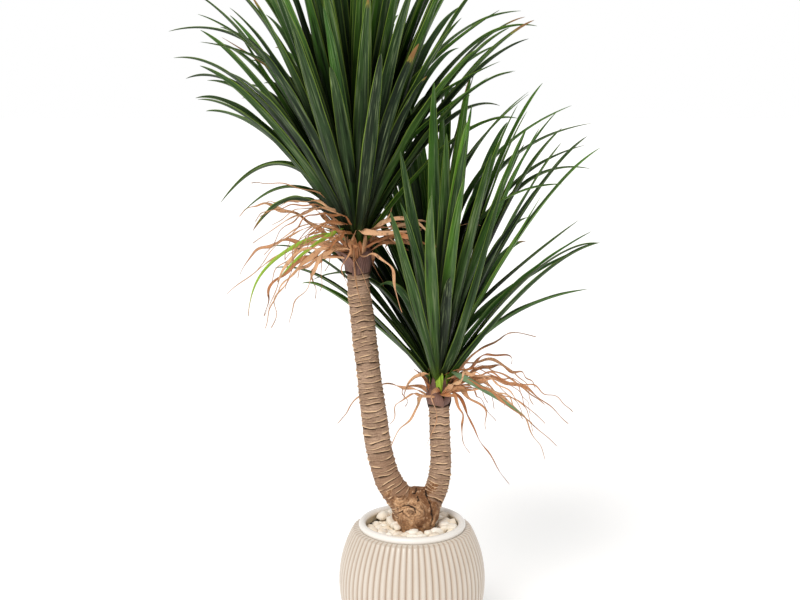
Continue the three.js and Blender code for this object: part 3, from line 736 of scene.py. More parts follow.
def cane_grid(cane):
    """Points of a cane: its middle line, plus radius × (side·cos a + front·sin a).

    The radius goes evenly from foot to top, plus the lip, a slow swelling, and a nub here and there.
    """
    angle, lines, strength, nubs = scar_lines(cane["length"], cane["seed"])
    shares = np.array(LIP_STEPS)[None, :, None]
    upper = np.concatenate([lines[1:], np.full((1, CANE_COLUMNS), cane["length"])])
    runs = mixed(lines[:, None], upper[:, None], shares).reshape(-1, CANE_COLUMNS)
    strong = mixed(strength[:, None], np.roll(strength, -1, axis=0)[:, None], shares > 0.6)
    lip = (np.array(LIP_HEIGHTS)[None, :, None] * strong).reshape(runs.shape)
    nub = (nubs[:, None] * (shares < 0.06)).reshape(runs.shape)
    middle, heading, length = along_curve(cane["curve"], runs)
    side = unit(np.cross([0.0, 1.0, 0.0], heading))
    front = np.cross(heading, side)
    swelling = 0.8 * np.sin(runs / 31 + 2 * angle) + 0.5 * np.sin(runs / 17 - 3 * angle)
    even = mixed(cane["foot_radius"], cane["top_radius"], runs / length) - 0.7
    radius = even + 0.9 * lip + swelling * 0.8 + 1.3 * nub
    around = side * np.cos(angle)[:, None] + front * np.sin(angle)[:, None]
    values = {
        "lip": np.clip(lip / 1.5, -1, 1), "nub": nub, "age": 1 - runs / length,
        "turn": np.broadcast_to(angle, runs.shape), "run": runs / 100,
    }
    return middle + around * radius[..., None], values


print("the tall cane has", len(scar_lines(CANES["tall"]["length"], CANES["tall"]["seed"])[1]), "scar lines")

# %% [markdown]
# Bark is grey-beige with warmer patches. The lips are a light tan, partly worn and partly a painted
# highlight on the edge that meets the light, and the recess under each one is painted dark as painted
# shade. Fine wrinkles run along the scar lines and short cracks across them.

# %% Ringed bark
def ringed_bark():
    finish = Finish("ringed_bark")
    lip, nub, age, run = finish.values("lip", "nub", "age", "run")
    patches = finish.noise(26, 4)
    grain = finish.noise(9, 5, finish.stretched((14, 14, 70)))
    fibres = finish.noise(10, 4, finish.stretched((90, 90, 9)))
    base = finish.mix(finish.span(patches, 0.35, 0.65), (153, 123, 101), (187, 155, 131))
    base = finish.layers(base, [
        (grain, 0.44, 0.68, 0.55, (116, 94, 74)),
        (fibres, 0.52, 0.68, 0.4, (212, 184, 152)),
    ])
    wrinkles = finish.math("MULTIPLY_ADD", patches, 22.0, finish.math("MULTIPLY", run, 118.0))
    wrinkles = finish.math("SINE", wrinkles)
    base = finish.mix(finish.span(wrinkles, 0.4, 1.0, 0, 0.45), base, (98, 74, 56))
    old_wood = finish.mix(grain, (98, 70, 52), (176, 134, 102))
    base = finish.mix(finish.span(age, 0.62, 0.86, 0, 0.85), base, old_wood)
    # The lips' light tan is partly worn bark and partly a painted highlight on the edge that meets the
    # light.
    worn_tan_and_highlight = finish.span(lip, 0.3, 0.8)
    base = finish.mix(finish.math("MULTIPLY", worn_tan_and_highlight, 0.85), base, (234, 198, 158))
    # The dark band under each lip is painted shade: the shadow of the overhanging lip.
    recess_shade = finish.span(lip, -0.04, -0.36)
    base = finish.mix(finish.math("MULTIPLY", recess_shade, 0.95), base, (50, 34, 22))
    colour = finish.mix(finish.span(nub, 0.3, 0.7), base, (52, 36, 27))
    fine = finish.math("MULTIPLY_ADD", wrinkles, -0.25, finish.math("MULTIPLY_ADD", fibres, 0.4, grain))
    bump = finish.bump(fine, 0.0016, 0.6)
    return finish.set(colour=colour, roughness=0.82, normal=bump, shine=0.25)


def with_plain_poles(values):
    """Values of one tube's rings with a 0 for each of its two poles."""
    return {title: np.append(numbers.ravel(), [0, 0]) for title, numbers in values.items()}


bark = ringed_bark()
for name, cane in CANES.items():
    rings, cane_values = cane_grid(cane)
    poles = [rings[row].mean(axis=0)[None] for row in (0, -1)]
    new_piece(f"{name}_cane", tube_points(rings[None], *poles), tube_faces(1, *rings.shape[:2]),
              with_plain_poles(cane_values), bark, "bark", "trunk")

# %% [markdown]
# ## The stump
# Below the fork the wood is older: smooth, warm brown and knotted, with two healed scars like eyes,
# a long crack up its right side and a few short ones, and it runs over into both canes without a
# seam. Such a soft union is easy to write as a field that is negative inside: the smallest of the
# distances to the trunk, to both lower canes and to the knots, with the steps between them rounded.

# %% The stump's field
STUMP = {"foot": 130, "foot_radius": 34, "waist": 243, "radius": 43, "top": 334}
HEART = np.array([8.0, 0.0, 288.0])
STUMP_BLEND, KNOT_BLEND = 11.0, 8.0
CANE_SUNK = 1.8
# Each knot: its middle and its three half sizes. Each eye: its middle, half width and half height.
KNOTS = np.array([
    [-2, -37, 283, 20, 12, 14], [-24, -25, 322, 13, 10, 12], [41, -20, 301, 13, 13, 13],
    [35, -27, 280, 12, 10, 12], [14, 34, 292, 20, 13, 15], [-30, 14, 276, 12, 12, 14],
], float)
EYES = np.array([[-3, -37, 303, 21, 11], [-27, -25, 335, 13, 11]], float)
# Lines on the stump's front, in x and z. The first is the long crack up its right side.
CRACKS = [
    [[34, 381], [30, 356], [28, 335], [33, 322], [38, 311], [42, 285], [37, 268]],
    [[-22, 301], [-30, 296], [-33, 290], [-31, 280], [-25, 272]],
    [[-20, 313], [-8, 315], [3, 313], [7, 305]],
    [[2, 335], [9, 340]],
    [[11, 329], [13, 322]],
]


def stump_radius(height, angle):
    """The trunk widens from its foot to above the waist and closes under the fork, with slow burls."""
    grown = smooth_step(height, STUMP["waist"], STUMP["waist"] + 40)
    closing = smooth_step(height, STUMP["top"] - 42, STUMP["top"] + 20)
    burls = 0.07 * np.sin(3 * angle + 0.8) + 0.05 * np.sin(5 * angle + height / 14)
    return mixed(STUMP["foot_radius"], STUMP["radius"] * (1 + burls), grown) * (1 - 0.75 * closing)


def soft_min(first, second, blend):
    """The smaller of two fields, less blend/4·(1 - |difference|/blend)² where they are nearly alike."""
    near = np.clip(1 - np.abs(first - second) / blend, 0, None)
    return np.minimum(first, second) - blend / 4 * near**2


def to_line(points, line):
    """The distance from each point to the nearest of a line's straight stretches."""
    nearest = np.full(points.shape[:-1], np.inf)
    for start, end in zip(line[:-1], line[1:]):
        way = end - start
        share = np.clip((points - start) @ way / (way @ way), 0, 1)
        nearest = np.minimum(nearest, np.linalg.norm(points - start - share[..., None] * way, axis=-1))
    return nearest


def stump_field(points):
    """About how far points lie outside the stump, or inside where it is negative."""
    x, y, z = np.moveaxis(points - [HEART[0], 0, 0], -1, 0)
    field = np.hypot(x, y) - stump_radius(z, np.arctan2(y, x))
    field = np.maximum(field, np.maximum(z - STUMP["top"] - 6, STUMP["foot"] - z))
    for cane in CANES.values():
        line, _, length = along_curve(cane["curve"], np.linspace(0, 92, 9))
        radius = mixed(cane["foot_radius"], cane["top_radius"], 50 / length) - CANE_SUNK
        field = soft_min(field, to_line(points, line) - radius, STUMP_BLEND)
    for *centre, wide, deep, tall in KNOTS:
        half = np.array([wide, deep, tall])
        knot = (np.linalg.norm((points - centre) / half, axis=-1) - 1) * half.min()
        field = soft_min(field, knot, KNOT_BLEND)
    return field


print("at its heart the field is", stump_field(HEART[None]).round(1)[0], "mm")

# %% [markdown]
# The surface is found along rays from the stump's heart: each ray is followed outwards in even
# steps to the last one inside, and the next step is then halved a dozen times. Marching cubes would
# do for any form, but with uneven triangles.

# %% Find its surface along rays
STUMP_ROWS, STUMP_COLUMNS = 150, 240
down = np.radians(np.linspace(2, 178, STUMP_ROWS))[::-1, None]
round_heart = np.linspace(0, 2 * math.pi, STUMP_COLUMNS, endpoint=False)[None]
rays = np.stack([
    np.sin(down) * np.cos(round_heart), np.sin(down) * np.sin(round_heart),
    np.cos(down) + 0 * round_heart,
], axis=-1)


def first_outside(rays, farthest=190.0, tries=44, halvings=12):
    """How far each ray runs before it leaves the field for good."""
    reaches = np.linspace(6, farthest, tries)
    last_inside = np.full(rays.shape[:-1], reaches[0])
    for far in reaches:
        inside = stump_field(HEART + rays * far) < 0
        last_inside = np.where(inside, far, last_inside)
    low, high = last_inside, last_inside + reaches[1] - reaches[0]
    for _ in range(halvings):
        middle = (low + high) / 2
        inside = stump_field(HEART + rays * middle[..., None]) < 0
        low, high = np.where(inside, middle, low), np.where(inside, high, middle)
    return low


stump_reach = first_outside(rays)
stump_points = HEART + rays * stump_reach[..., None]
print("the stump's surface lies", stump_reach.min().round(1), "to", stump_reach.max().round(1),
      "mm from its heart")

# %% [markdown]
# The fine relief moves each point along its own ray. The eyes are rings like those of an onion, and
# the cracks follow the lines above, a little wavering.

# %% Eyes, cracks and grain on the stump
EYE_RINGS = 2.0
EYE_DEPTH = 40
CRACK_WIDTH = (0.4, 2.2)


def wavy(points, seed, size, count=7):
    """A soft noise from -1 to 1: the mean of waves in drawn directions with lengths about the size."""
    chance = np.random.default_rng(seed)
    ways = unit(chance.normal(size=(count, 3))) * (2 * math.pi / size)
    ways = ways * chance.uniform(0.7, 1.5, (count, 1))
    return np.sin(points @ ways.T + any_turn(chance, count)).mean(axis=-1) * 1.6


def eyes(points):
    """Rings round the two healed scars, and how near the middle of an eye a point lies."""
    rings = np.zeros(points.shape[:-1])
    near = np.zeros(points.shape[:-1])
    for *centre, wide, tall in EYES:
        away = np.linalg.norm((points - centre) / [wide, EYE_DEPTH, tall], axis=-1)
        window = 1 - smooth_step(away, 0.9, 2.3)
        window = window * (points[..., 1] < centre[1] + 22)
        wobble = 0.09 * wavy(points, 77, 13) + 0.12 * wavy(points, 78, 34)
        wave = np.sin((away + 1.5 * wobble) * 2 * math.pi * EYE_RINGS)
        rings += window * wave * (0.75 + 0.5 * wavy(points, 79, 16))
        near += window * (1 - smooth_step(away, 0.0, 0.5))
    return rings, near


def crack_share(points):
    """1 in the cracks and 0 away from them: by the distance to lines drawn on the front, in x and z."""
    flat = points[..., [0, 2]] + 1.6 * np.stack([wavy(points, 5, 9), wavy(points, 6, 9)], axis=-1)
    nearest = np.min([to_line(flat, np.array(line, float)) for line in CRACKS], axis=0)
    return (1 - smooth_step(nearest, *CRACK_WIDTH)) * (points[..., 1] < 4)


stump_rings, stump_eye = eyes(stump_points)
stump_crack = crack_share(stump_points)
buried = smooth_step(stump_points[..., 2], 236, 246)
relief = (
    0.9 * stump_rings - 2.2 * stump_crack - 1.6 * stump_eye
    + 0.9 * wavy(stump_points, 1, 30) + 0.5 * wavy(stump_points * [1, 1, 0.35], 2, 11)
)
stump_points += rays * (relief * buried)[..., None]
stump_values = {"ring": stump_rings, "eye": stump_eye, "crack": stump_crack}
print("cracks cover", (100 * (stump_crack > 0.5).mean()).round(1), "percent of the stump")

# %% [markdown]
# The smooth bark is a warm tan, mottled with darker brown. The eyes' rings alternate dark and light,
# and the cracks are nearly black.

# %% Smooth bark
def smooth_bark():
    finish = Finish("smooth_bark")
    ring, eye, crack = finish.values("ring", "eye", "crack")
    patches = finish.noise(22, 4)
    streaks = finish.noise(8, 3, finish.stretched((24, 24, 12)))
    pits = finish.noise(90, 2)
    layers = finish.noise(6, 2, finish.stretched((9, 9, 30)))
    folded = finish.math("FRACT", finish.math("MULTIPLY", layers, 11.0))
    from_line = finish.math("ABSOLUTE", finish.math("SUBTRACT", folded, 0.5))
    wrinkles = finish.span(from_line, 0.0, 0.16, 1.0, 0.0)
    base = finish.mix(finish.span(patches, 0.43, 0.57), (138, 96, 63), (212, 165, 122))
    base = finish.layers(base, [
        (streaks, 0.45, 0.62, 0.55, (120, 78, 48)),
        (streaks, 0.42, 0.32, 0.6, (232, 196, 160)),
    ])
    base = finish.mix(finish.math("MULTIPLY", wrinkles, 0.6), base, (84, 54, 34))
    base = finish.layers(base, [
        (ring, 0.1, 0.9, 0.5, (214, 174, 136)),
        (ring, -0.3, -0.95, 0.7, (62, 40, 26)),
    ])
    base = finish.mix(finish.math("MULTIPLY", eye, 0.7), base, (70, 46, 32))
    base = finish.mix(finish.span(pits, 0.68, 0.72, 0, 0.9), base, (44, 28, 20))
    colour = finish.mix(crack, base, (30, 18, 12))
    raised = finish.math("ADD", streaks, pits)
    relief = finish.math("SUBTRACT", raised, finish.math("MULTIPLY", wrinkles, 0.8))
    bump = finish.bump(relief, 0.0016, 0.8)
    return finish.set(colour=colour, roughness=0.72, normal=bump, shine=0.3)


stump_poles = [np.array([[HEART[0], 0, stump_points[row, :, 2].mean()]]) for row in (0, -1)]
new_piece("stump", tube_points(stump_points[None], *stump_poles),
          tube_faces(1, STUMP_ROWS, STUMP_COLUMNS),
          with_plain_poles(stump_values), smooth_bark(), "bark", "trunk")

# %% [markdown]
# ## Where every blade goes
# A yucca leaf leaves its stem at a golden angle from the last one. Blades scattered freely would
# cross each other, so each one is swung to one side and the other until it is clear of those placed
# before it. A blade's middle line is a quadratic curve from its root, by the point where it leans
# over, to its tip. The leading blades, whose tips show in the outline, come first. The numbers are
# those of the CAD solids, so that each solid's blades come out in their places.
#
# Each leading blade has its tip's x, y and z from the head's base, the slope in degrees with which
# it ends, and its length over the straight way. A dry one has x, y, z, slope, and may have a width.

# %% Numbers of the heads and skirts
SEAT_GAP = 0.4
HEADS = {
    "tall": {
        "collar": 52, "crown": 150, "blades": 40, "length": 590, "width": 27,
        "rise": (58, 87), "fall": (-16, 74), "seed": 31,
        "leading": [
            (-318, 184, 254, -7, 1.06), (-262, 84, 78, -52, 1.82), (-371, 74, 412, -14, 1.27),
            (-345, -26, 360, -9, 1.09), (-379, 144, 320, -18, 1.15), (-287, -96, 438, 16, 1.03),
            (-275, -156, 387, 6, 1.21), (-227, -6, 63, -44, 1.58), (-208, -6, 25, -56, 1.7),
            (342, -26, 419, -12, 1.15), (263, -156, 353, 20, 1.1), (-37, -260, 344, 30, 0.9),
            (131, -180, 327, 33, 0.9), (94, -200, 435, 36, 0.9), (-253, -40, 399, 30, 1.21),
            (-246, 80, 430, 56, 1.15), (319, 60, 451, 3, 1.15), (261, -160, 443, 27, 1.09),
            (281, 130, 389, 20, 1.03), (246, -140, 325, 30, 1.03), (222, 110, 288, 17, 1.03),
        ],
    },
    "short": {
        "collar": 38, "crown": 135, "blades": 32, "length": 570, "width": 25,
        "rise": (54, 87), "fall": (-14, 74), "seed": 111,
        "leading": [
            (184, 100, 592, 32, 1.12), (276, 130, 563, 18, 1.21), (324, 170, 525, 6, 1.27),
            (297, 70, 485, 12, 1.15), (310, 80, 436, -12, 1.27), (255, -180, 431, 4, 1.27),
            (263, -110, 353, 38, 1.06), (282, -150, 336, 29, 0.97), (289, 140, 258, 20, 1.05),
            (297, -20, 204, 8, 1.03), (75, 20, 654, 72, 1.12), (-282, 80, 199, -26, 1.03),
            (-260, 60, 209, -28, 1.36), (-118, -170, 235, -20, 1.12), (-49, -100, 267, 46, 0.9),
            (-8, -110, 419, 55, 0.9), (14, -200, 255, 25, 0.9), (184, 40, 588, 35, 1.15),
            (110, -190, 443, 68, 1.09), (178, -110, 410, 55, 1.21), (187, -130, 400, 58, 1.15),
        ],
    },
}
SKIRTS = {
    "tall": {
        "leaves": 10, "length": 300, "width": 16, "seed": 3,
        "leading": [
            (-259, 3, -100, -42), (-252, 93, -78, -78), (-223, 123, -131, -66), (-184, 53, -152, -68),
            (-178, -57, -141, -80), (-214, -17, -136, -72), (-249, 113, 43, -50), (-203, 163, 62, -20),
            (240, 53, -78, -32), (196, 123, -52, -30), (187, 153, 36, -8), (163, -27, -12, -50),
            (34, -41, -162, -84),
        ],
    },
    "short": {
        "leaves": 8, "length": 270, "width": 16, "seed": 5,
        "leading": [
            (198, 50, 95, -12), (264, 10, -63, -42), (266, -60, -81, -38), (231, 60, -177, -66),
            (135, -80, -185, -58), (143, -40, -58, -60), (227, 90, -35, -50), (145, -110, 48, -60),
            (195, 130, 8, -50), (-101, -80, -57, -76), (172, 40, -54, -70), (179, -120, -37, -38, 1.6),
        ],
    },
}
CROWN_RADIUS, CROWN_BELLY, ROOT_RADIUS = 19, 28, 12
BEND_SHARE = 0.74
FRONT_LIFT = 45
OLD_LENGTH, YOUNG_LENGTH = 0.78, 1.14
WIDEST, ROOT_SHARE, TAPER, KEEL = 0.40, 0.48, 0.62, 2.4
BLADE_STATIONS = (0, 0.14, 0.34, 0.54, 0.75, 1)
DRY_STATIONS = (0, 0.16, 0.36, 0.56, 0.78, 1)
DRY_ARCH = 1.25
CLEARANCE, TRIES = 1.2, 24
GOLDEN_ANGLE = math.pi * (3 - math.sqrt(5))
UP = np.array([0.0, 0.0, 1.0])
for name, head in HEADS.items():
    print(name, "head:", len(head["leading"]), "leading blades and up to", head["blades"], "more")

# %% [markdown]
# A blade is a small record: root, bend and tip, its side, its greatest width, how it twists and how
# it sways. These functions turn one blade, or many at once as arrays, into points, widths and
# directions at any share of the length.

# %% A blade's line, width and frame
def seeded(seed):
    """An endless draw of numbers from 0 to 1: each state is 16807 times the last, modulo 2^31 - 1."""
    state = seed
    while True:
        state = state * 16807 % 2147483647
        yield state / 2147483647


def head_base(name):
    """The middle of a head's foot, on top of its collar."""
    return np.array(CANES[name]["line"][-1], float) + UP * (HEADS[name]["collar"] + 2 * SEAT_GAP)


def slope(out, degrees):
    """A unit vector that rises outwards at the given slope: cos(a)·out + sin(a)·up."""
    angle = math.radians(degrees)
    return math.cos(angle) * out + math.sin(angle) * UP


def blade_points(blade, shares):
    """Points on a blade's middle line: (1-s)²·root + 2(1-s)s·bend + s²·tip, and to the side by
    wave·s·sin(waves·pi·s + phase)."""
    s = np.asarray(shares, float)[:, None]
    sway = blade["wave"] * s * np.sin(blade["waves"] * math.pi * s + blade["phase"])
    curve = (1 - s) ** 2 * blade["root"] + 2 * (1 - s) * s * blade["bend"] + s**2 * blade["tip"]
    return curve + sway * blade["side"]


def blade_widths(blade, shares, root_share=ROOT_SHARE):
    """Full width: a parabola from the root up to the widest place, then a long taper to the tip."""
    s = np.asarray(shares, float)
    widening = 1 - (1 - root_share) * (1 - s / WIDEST) ** 2
    taper = (np.clip(1 - s, 0, 1) / (1 - WIDEST)) ** TAPER
    return blade["width"] * np.where(s < WIDEST, widening, taper)


def blade_frames(blade, shares, roll=None):
    """Unit vectors across a blade and out of its upper face, rolled by twist·s."""
    s = np.asarray(shares, float)
    start = np.minimum(s, 0.99)
    along = unit(blade_points(blade, start + 0.01) - blade_points(blade, start))
    lean = (along * blade["side"]).sum(axis=-1, keepdims=True)
    across = unit(blade["side"] - lean * along)
    over = np.cross(along, across)
    roll = (blade["twist"] * s if roll is None else roll)[..., None]
    return across * np.cos(roll) + over * np.sin(roll), over * np.cos(roll) - across * np.sin(roll)


for name in HEADS:
    print(name, "head's base is at", head_base(name).tolist(), "mm")

# %% [markdown]
# To keep blades apart, each is treated as a few flat bars end to end, and one numpy call compares a
# new blade's bars with all that stand already.

# %% Keeping blades apart
class Taken:
    """The straight stretches of everything that is placed: ends, frame, half sizes and owner."""

    def __init__(self):
        self.owners = []
        self.rows = np.zeros((0, 14))

    def add(self, owner, rows):
        self.owners += [owner] * len(rows)
        self.rows = np.concatenate([self.rows, rows])


def stretches(blade):
    """One row for each stretch: from (3), to (3), across (3), over (3), half width, half depth."""
    stations = np.array(blade["stations"], float)
    points = blade_points(blade, stations)
    widths = blade_widths(blade, stations)
    half = np.maximum(widths[:-1], widths[1:]) / 2
    across, over = blade_frames(blade, (stations[:-1] + stations[1:]) / 2)
    deep = half if blade["twist"] else np.full_like(half, blade["keel"])
    return np.column_stack([points[:-1], points[1:], across, over, half, deep])


def round_stretches(line, radius):
    """The same rows for a round stem along a line."""
    line = np.array(line, float)
    along = unit(line[1:] - line[:-1])
    across = unit(np.cross([0.0, 1.0, 0.0], along))
    size = np.full(len(along), radius)
    return np.column_stack([line[:-1], line[1:], across, np.cross(along, across), size, size])


def free_gaps(first, second):
    """The free distance between each stretch of one set and each of another.

    It is the distance between their nearest points, less how far each blade reaches that way: half
    width × |across · way| + half depth × |over · way|.
    """
    a, b = first[:, None], second[None]
    u, v = a[..., 3:6] - a[..., 0:3], b[..., 3:6] - b[..., 0:3]
    between = a[..., 0:3] - b[..., 0:3]
    uu, vv, uv = (u * u).sum(-1), (v * v).sum(-1), (u * v).sum(-1)
    ub, vb = (u * between).sum(-1), (v * between).sum(-1)
    spread = uu * vv - uv * uv
    s = np.where(spread > 1e-9, np.clip((uv * vb - ub * vv) / np.maximum(spread, 1e-9), 0, 1), 0)
    t = (uv * s + vb) / vv
    s = np.where(t < 0, np.clip(-ub / uu, 0, 1), np.where(t > 1, np.clip((uv - ub) / uu, 0, 1), s))
    t = np.clip(t, 0, 1)
    way = between + u * s[..., None] - v * t[..., None]
    distance = np.linalg.norm(way, axis=-1)
    way = way / np.maximum(distance, 1e-6)[..., None]
    for row in (a, b):
        reach = row[..., 12] * np.abs((row[..., 6:9] * way).sum(-1))
        distance = distance - reach - row[..., 13] * np.abs((row[..., 9:12] * way).sum(-1))
    return distance


def freedom(owner, head, blade, taken, nested=1):
    """The least free distance to the blades of the same piece, and to everything else, where the
    first stretches of the blade are left out, since feet nest."""
    owners = np.array(taken.owners)
    counted = owners != f"{head} crown"
    gaps = free_gaps(stretches(blade)[nested:], taken.rows[counted])
    own = owners[counted] == owner
    return gaps[:, own].min(initial=np.inf), gaps[:, ~own].min(initial=np.inf)


def place(owner, head, series, taken, placed, least_own=-np.inf, nested=1):
    """Swings a blade until it is clear, keeps its freest place, or leaves it out."""
    best, best_own = None, least_own
    for attempt in range(TRIES):
        swing = math.ceil(attempt / 2) * (1 if attempt % 2 else -1)
        blade = series(swing)
        own, others = freedom(owner, head, blade, taken, nested)
        if others > CLEARANCE and own > best_own:
            best, best_own = blade, own
        if best is not None and best_own > 0:
            break
    if best is None:
        return
    placed.append(best)
    taken.add(owner, stretches(best)[1:])


print("a blade may be swung", TRIES, "times, and stays", CLEARANCE, "mm clear of other pieces")

# %% [markdown]
# There are four kinds of blades: green and dry, each either led by a given tip or left free to grow
# by the rule. The old blades at a head's foot lean far out and the young ones at its heart stand
# upright, so a free blade's rise, length and seat follow its age from 0 to 1.

# %% Kinds of blades
YOUNG_SHORTER = 0.25
DRY_SEAT = 0.7


def new_blade(name, azimuth, radius, height, shape):
    """The start of a blade: its root at that radius and height on the head's base, and its side."""
    out = np.array([math.cos(azimuth), math.sin(azimuth), 0.0])
    root = head_base(name) + out * radius + UP * height
    return {"root": root, "out": out, "side": np.array([-out[1], out[0], 0.0]), **shape}


def green_shape(width):
    """A live blade is straight: no twist and no sway."""
    return {"width": width, "keel": KEEL, "twist": 0, "wave": 0, "waves": 0, "phase": 0,
            "stations": BLADE_STATIONS}


def dry_shape(width, index, chances):
    """A dry blade twists to one side or the other and sways in waves along its length."""
    twist = mixed(0.8, 2.4, chances[0]) * (1 if index % 2 else -1)
    return {"width": width, "keel": 2, "twist": twist, "wave": 12, "waves": mixed(2.5, 4.5, chances[1]),
            "phase": 6 * chances[2], "stations": DRY_STATIONS}


def reach_tip(blade, name, target, legs):
    """Bends a blade so that two straight legs of the given length end at its tip with its slope."""
    x, y, z, fall = target[:4]
    blade["tip"] = head_base(name) + blade["out"] * math.hypot(x, y) + UP * z
    whole = blade["tip"] - blade["root"]
    both = max(legs, np.linalg.norm(whole) * 1.02)
    last = slope(blade["out"], fall)
    leg = (both**2 - whole @ whole) / (2 * (both - whole @ last))
    blade["bend"] = blade["tip"] - leg * last
    return blade


def leading_blade(name, target, swing):
    """A green blade to a given tip, swung by whole degrees."""
    head = HEADS[name]
    azimuth = math.atan2(target[1], target[0]) + math.radians(1) * swing
    height = 5 + max(0, target[2]) / 14
    blade = new_blade(name, azimuth, ROOT_RADIUS, height, green_shape(head["width"]))
    far = math.sqrt(target[0] ** 2 + target[1] ** 2 + target[2] ** 2)
    return reach_tip(blade, name, target, far * target[4])


def bent_over(blade, length, rise, first, fall, last):
    """Adds the bend, a first share of the length along one slope, and the tip, a last share along
    another."""
    blade["bend"] = blade["root"] + slope(blade["out"], rise) * length * first
    blade["tip"] = blade["bend"] + slope(blade["out"], fall) * length * last
    return blade


def free_blade(name, index, age, chances, swing):
    """A green blade at its golden angle, with its age and six drawn numbers for the rest."""
    head = HEADS[name]
    azimuth = index * GOLDEN_ANGLE + math.radians(10 * (chances[0] - 0.5) + 4 * swing)
    rise = mixed(*head["rise"], age**1.5) + 6 * (chances[1] - 0.5)
    lift = FRONT_LIFT * max(0, -math.sin(azimuth))
    fall = min(rise - 6, mixed(*head["fall"], age) + lift + 20 * (chances[2] - 0.5))
    length = head["length"] * mixed(OLD_LENGTH, YOUNG_LENGTH, age)
    length *= mixed(0.93, 1.07, chances[3]) * (1 - YOUNG_SHORTER * age**4)
    shape = green_shape(head["width"] * mixed(0.85, 1.08, chances[4]))
    radius = ROOT_RADIUS * (1 - 0.6 * age)
    blade = new_blade(name, azimuth, radius, mixed(4, head["crown"] - 40, age), shape)
    blade = bent_over(blade, length, rise, BEND_SHARE, fall, 1 - BEND_SHARE)
    blade["tip"] = blade["tip"] + blade["side"] * 40 * (chances[5] - 0.5)
    return blade


def leading_dry(name, target, index, chances, swing):
    """A dry blade to a given tip, which may also give how many times wider it is."""
    x, y, z = target[:3]
    wider = target[4] if len(target) > 4 else 1
    azimuth = math.atan2(y, x) + math.radians(3) * swing
    shape = dry_shape(wider * SKIRTS[name]["width"] * mixed(0.75, 1.15, chances[3]), index, chances)
    blade = new_blade(name, azimuth, CROWN_RADIUS * DRY_SEAT, -mixed(10, 30, chances[4]), shape)
    return reach_tip(blade, name, target, DRY_ARCH * math.sqrt(x * x + y * y + z * z))


def free_dry(name, index, chances, swing):
    """A dry blade at its golden angle, which rises a little and then hangs down."""
    skirt = SKIRTS[name]
    azimuth = index * GOLDEN_ANGLE + math.radians(4) * swing
    length = skirt["length"] * mixed(0.6, 1.15, chances[5])
    shape = dry_shape(skirt["width"] * mixed(0.75, 1.15, chances[3]), index, chances)
    blade = new_blade(name, azimuth, CROWN_RADIUS * DRY_SEAT, -mixed(10, 30, chances[4]), shape)
    return bent_over(blade, length, mixed(10, 42, chances[6]), 0.5, mixed(-84, -50, chances[7]), 0.58)


example = free_blade("tall", 0, 0.5, [0.5] * 6, 0)
print("a blade of middle age ends", (example["tip"] - example["root"]).round().tolist(), "mm from its root")

# %% [markdown]
# The canes and crowns stand first. Then come the leading blades of both heads, the free ones and
# the dry ones, in the order in which the CAD source placed its own.

# %% Place them all
def standing_parts():
    """The canes and the crowns inside the heads, which every blade has to clear."""
    taken = Taken()
    for name, cane in CANES.items():
        radius = (cane["foot_radius"] + cane["top_radius"]) / 2 + 1.6
        base = head_base(name)
        taken.add("trunk", round_stretches(cane["line"], radius))
        crown = [cane["line"][-1], base, base + UP * HEADS[name]["crown"]]
        taken.add(f"{name} crown", round_stretches(crown, CROWN_BELLY))
    return taken


def draws(chance, count):
    """The next numbers of a seeded draw."""
    return [next(chance) for _ in range(count)]


def place_blades():
    """Every blade that the solids have. Each series is a blade that still waits for its swing."""
    taken = standing_parts()
    placed = {"tall": [], "short": [], "tall dry": [], "short dry": []}
    for name, head in HEADS.items():
        for target in head["leading"]:
            place(name, name, partial(leading_blade, name, target), taken, placed[name])
    for name, head in HEADS.items():
        chance = seeded(head["seed"])
        for i in range(head["blades"]):
            age = i / (head["blades"] - 1)
            series = partial(free_blade, name, i, age, draws(chance, 6))
            place(name, name, series, taken, placed[name])
    for name, skirt in SKIRTS.items():
        chance = seeded(skirt["seed"])
        targets = skirt["leading"]
        for i in range(len(targets) + skirt["leaves"]):
            chances = draws(chance, 8)
            if i < len(targets):
                series = partial(leading_dry, name, targets[i], i, chances)
            else:
                series = partial(free_dry, name, i, chances)
            place(f"{name} skirt", name, series, taken, placed[f"{name} dry"])
    return placed, taken


placed, taken = place_blades()
print({name: len(blades) for name, blades in placed.items()}, "blades placed")

# %% [markdown]
# The solids carry the main blades. A real head is denser, so more blades grow by the same rule from
# other seeds, and a blade is only kept where it is clear of all others. Two windows stay open: one
# before the tall head's collar, and one among the few tips at the short head's right.

# %% More blades in the gaps
MORE_BLADES = {"tall": {"tries": 112, "seed": 101}, "short": {"tries": 84, "seed": 202}}
BOX_LOW, BOX_HIGH = np.array(CAD_BOX) / MM
COLLAR_WINDOW = {"middle": -100, "half": 80, "front": -40, "low": 750, "high": {"tall": 840, "short": 1150}}
TIP_WINDOW = {"x": (120, 390), "z": (700, 1040)}


def in_box(blade, margin=4.0):
    """Whether a blade stays inside the CAD box, by a margin."""
    points = blade_points(blade, np.linspace(0, 1, 24))
    return bool(np.all(points > BOX_LOW + margin) and np.all(points < BOX_HIGH - margin))


def hides_collar(name, blade):
    """Whether a blade would pass in front of the tall head's collar."""
    x, y, z = blade_points(blade, np.linspace(0, 1, 24)).T
    window = COLLAR_WINDOW
    level = (z > window["low"]) & (z < window["high"][name])
    return bool(np.any(level & (np.abs(x - window["middle"]) < window["half"]) & (y < window["front"])))


def fills_gap(name, blade):
    """Whether a blade of the short head would end in the gaps at its right."""
    x, _, z = blade["tip"]
    ends = [low < place < high for place, (low, high) in ((x, TIP_WINDOW["x"]), (z, TIP_WINDOW["z"]))]
    return name == "short" and all(ends)


